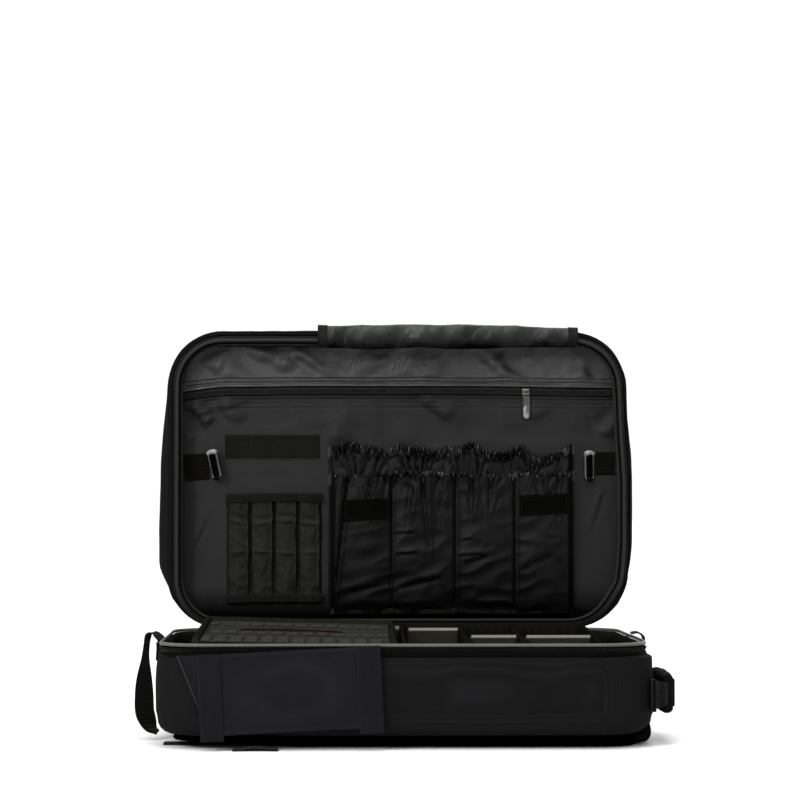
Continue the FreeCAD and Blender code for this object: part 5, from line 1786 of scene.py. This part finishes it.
rows, cols = 56, 90
x, z = field(-0.1765, -0.0415, cols, 0.019, 0.099, rows)
belly = 0.0012 * np.sin((x + 0.1765) / 0.135 * math.pi) * np.sin((z - 0.019) / 0.080 * math.pi)
out = belly + wobble_grid(x, z, 0.040, 3.0) * 0.0005
hem = 0.0008 * np.exp(-((z - 0.0970) / 0.0018) ** 2) + 0.0006 * np.exp(-((z - 0.0215) / 0.0018) ** 2)
front = on_front(x, z, FACE + 0.0004 - out - hem)
panel = Shape()
panel.sheet(front, front + (0, 0.0014, 0))
for height in (0.0935, 0.0250):
    xs = np.linspace(-0.175, -0.043, 90)
    k = int((height - 0.019) / 0.080 * (rows - 1))
    path = on_front(xs, height, FACE - 0.0002 - np.interp(xs, x[k], out[k]))
    panel.stitches(path, 0.0028, 0.0014, 0.00034, 1)
front_sleeve = panel.make("front_sleeve_cloth", "base", "body_fabric", [PANEL, THREAD],
                          ["front_sleeve_panel"])

webs = Shape()
lo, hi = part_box("sleeve_webbings")
WEB_Y = lo.y + 0.0008
for x0, x1 in ((-0.199, -0.176), (-0.042, -0.018)):
    zs = np.linspace(0.0135, 0.0995, 70)
    bow = 0.0007 * np.sin((zs - 0.0135) / 0.086 * math.pi) + 0.0003 * np.sin(zs * 90)
    path = on_front((x0 + x1) / 2, zs, WEB_Y - bow + 0.0004)
    ribbon(webs, path, (1, 0, 0), x1 - x0, 0.0018, cells=18)
    for dx in (-0.0088, 0.0088):
        webs.stitches(path + (dx, -0.0011, 0), 0.0028, 0.0014, 0.00034, 1)
    a, b, low, top = x0 + 0.003, x1 - 0.003, 0.0165, 0.030
    cross = [(a, low), (b, low), (b, top), (a, top), (a, low), (b, top), (b, low), (a, top)]
    webs.stitch_chain([on_front(x, z, WEB_Y - 0.0010) for x, z in cross], 16, 0.0026, 0.0012, 0.00032, 1)
webs.make("sleeve_webbing_pair", "base", "webbing", [WEB_FLAT, THREAD], ["sleeve_webbings"])

lo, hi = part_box("sleeve_wedge")
wedge = Shape()
u, v = field(0, 1, 20, 0, 1, 24)
left_edge = lo.x + (hi.x - lo.x) * 0.5 * (1 - v)
x = left_edge + (hi.x - left_edge) * u
z = lo.z + (hi.z - lo.z) * v
y = hi.y - 0.0016 - 0.0008 * np.sin(u * math.pi) - 0.0005 * wobble_grid(x, z, 0.02, 4.0)
front = np.stack([x, y, z], axis=-1)
wedge.sheet(front, front + (0, 0.0016, 0))
wedge.stitches(front[:, 2] + (0, -0.0003, 0), 0.0026, 0.0013, 0.00032, 1)
wedge.tube(front[:, 0] + (0, -0.0004, 0), 0.0009, 8, mat=2)
sleeve_wedge = wedge.make("sleeve_wedge_cloth", "base", "body_fabric", [PANEL, THREAD, WEDGE_CORD],
                          ["sleeve_wedge"])


# ---------------------------------------------------------------- under the bag

lo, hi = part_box("back_panel_pad")
cushion = Shape()
p, n = outline((lo.x, hi.x), (lo.y, hi.y), 0.040, 0.008)
rings = []
centre = np.array([(lo.x + hi.x) / 2, (lo.y + hi.y) / 2])
side = [(-0.0026, 0.0), (-0.0010, 0.0008), (0.0, 0.0020), (-0.0008, 0.0034), (-0.0026, 0.0044),
        (-0.0060, 0.0050)]
for inset, h in side[::-1]:
    q = p + n * inset
    rings.append(np.column_stack([q, np.full(len(q), lo.z + 0.0002 + h * (hi.z - lo.z) / 0.0052)]))
channel = []
for shrink in (0.97, 0.94, 0.85, 0.7, 0.5, 0.3, 0.12, 0.02):
    q = centre + (p - centre) * shrink
    low = lo.z + 0.0014 * (0.5 + 0.5 * np.cos((q[:, 0] - lo.x) / 0.058 * 2 * math.pi)) * (shrink < 0.95)
    channel.append(np.column_stack([q, low]))
top_in = closing(rings[0], centre, (0.02, 0.3, 0.6, 0.85))
cushion.loft(top_in + rings + channel)
back_pad = cushion.make("back_panel_pad_cloth", "base", "mesh_pad", MESH_PAD, ["back_panel_pad"])

pads = Shape()
lo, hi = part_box("shoulder_strap_pads")
for y0, y1 in ((lo.y, lo.y + 0.068), (hi.y - 0.068, hi.y)):
    p, n = outline((lo.x, hi.x), (y0, y1), 0.020, 0.006)
    centre = np.array([(lo.x + hi.x) / 2, (y0 + y1) / 2])
    rings = []
    for inset, h in ((-0.0100, 0.06), (-0.0050, 0.02), (-0.0020, 0.10), (0.0, 0.42), (-0.0006, 0.62),
                     (-0.0024, 0.86), (-0.0055, 0.98), (-0.0100, 1.0)):
        q = p + n * inset
        rings.append(np.column_stack([q, np.full(len(q), lo.z + 0.0002 + (hi.z - lo.z - 0.0004) * h)]))
    under = closing(rings[0], centre, (0.05, 0.4, 0.8))
    over = closing(rings[-1], centre, (0.8, 0.4, 0.05))
    pads.loft(under + rings + over)
    q = p + n * -0.0056
    pads.stitches(np.column_stack([q, np.full(len(q), lo.z + 0.0001)]), 0.003, 0.0015, 0.0003, 1)
strap_pads = pads.make("shoulder_pad_pair", "base", "mesh_pad", [MESH_PAD, THREAD], ["shoulder_strap_pads"])

lo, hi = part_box("shoulder_webbings")
webs = Shape()
for y0, y1 in ((lo.y, lo.y + 0.025), (hi.y - 0.025, hi.y)):
    xs = np.linspace(lo.x, hi.x, 40)
    path = np.column_stack([xs, (y0 + y1) / 2 + 0 * xs, 0.0012 + 0 * xs])
    ribbon(webs, path, (0, 1, 0), 0.025, 0.0017, ribs=6, cells=16)
webs.make("shoulder_webbing_pair", "base", "webbing", WEB_FLAT, ["shoulder_webbings"])


# ---------------------------------------------------------------- nodes kept as they are

KEPT = {"hinge_cord": PIPING, "ladder_locks": PLASTIC, "base_bottom_board": PLASTIC,
        "lid_stiffener_board": PLASTIC, "flap_hem": BINDING}
for node, material in KEPT.items():
    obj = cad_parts[node]
    obj.data.materials.clear()
    obj.data.materials.append(material)


# ---------------------------------------------------------------- floor, light, camera

mesh = bpy.data.meshes.new("floor")
FLOOR_HALF = 14.0
corners = [(x * FLOOR_HALF, y * FLOOR_HALF, 0) for x, y in ((-1, -1), (1, -1), (1, 1), (-1, 1))]
mesh.from_pydata(corners, [], [(0, 1, 2, 3)])
floor = bpy.data.objects.new("floor", mesh)
bpy.context.collection.objects.link(floor)
ground = Nodes("studio_floor")
floor_mat = ground.finish((0.86, 0.86, 0.86), 0.9, ground.bump(ground.noise(400), 0.02, 0.0002), 0.1)
mesh.materials.append(floor_mat)

world = bpy.data.worlds.new("studio")
world.use_nodes = True
tree = world.node_tree
seen, dim = tree.nodes["Background"], tree.nodes.new("ShaderNodeBackground")
seen.inputs[0].default_value, seen.inputs[1].default_value = (1, 1, 1, 1), 1.05
dim.inputs[0].default_value, dim.inputs[1].default_value = (1, 1, 1, 1), 0.19
rays, blend_shader = tree.nodes.new("ShaderNodeLightPath"), tree.nodes.new("ShaderNodeMixShader")
tree.links.new(rays.outputs["Is Camera Ray"], blend_shader.inputs[0])
tree.links.new(dim.outputs[0], blend_shader.inputs[1])
tree.links.new(seen.outputs[0], blend_shader.inputs[2])
tree.links.new(blend_shader.outputs[0], tree.nodes["World Output"].inputs["Surface"])
bpy.context.scene.world = world


def area_light(name, place, target, size, power):
    """Square soft light that looks at a target."""
    data = bpy.data.lights.new(name, "AREA")
    data.shape, data.size, data.energy = "SQUARE", size, power
    lamp = bpy.data.objects.new(name, data)
    bpy.context.collection.objects.link(lamp)
    lamp.location = place
    lamp.rotation_euler = (Vector(target) - Vector(place)).to_track_quat("-Z", "Y").to_euler()
    return lamp


area_light("key", (-1.3, -1.9, 1.0), (0, 0.1, 0.28), 0.45, 19)
area_light("top", (0.1, -0.5, 2.2), (0, 0.1, 0.2), 1.1, 20)
SUNS = {"front_sun": ((0.25, 1.0, -0.85), 2.9), "back_sun": ((-0.15, -1.0, -0.80), 2.3),
        "left_sun": ((1.0, 0.10, -0.40), 0.70), "right_sun": ((-1.0, 0.10, -0.45), 0.45)}
for name, (heading, energy) in SUNS.items():
    sun = bpy.data.objects.new(name, bpy.data.lights.new(name, "SUN"))
    sun.data.energy, sun.data.angle = energy, math.radians(60)
    sun.rotation_euler = Vector(heading).to_track_quat("-Z", "Y").to_euler()
    bpy.context.collection.objects.link(sun)

cam_data = bpy.data.cameras.new("camera")
cam_data.lens, cam_data.sensor_width = 134.3, 36.0
cam_data.clip_start, cam_data.clip_end = 0.05, 60
camera = bpy.data.objects.new("camera", cam_data)
bpy.context.collection.objects.link(camera)
camera.location = (-0.050, -3.134, 0.274)
camera.rotation_euler = (math.radians(91.4), 0, math.radians(-0.86))
bpy.context.scene.camera = camera
bpy.context.scene.view_settings.view_transform = "Standard"

bpy.context.view_layer.update()
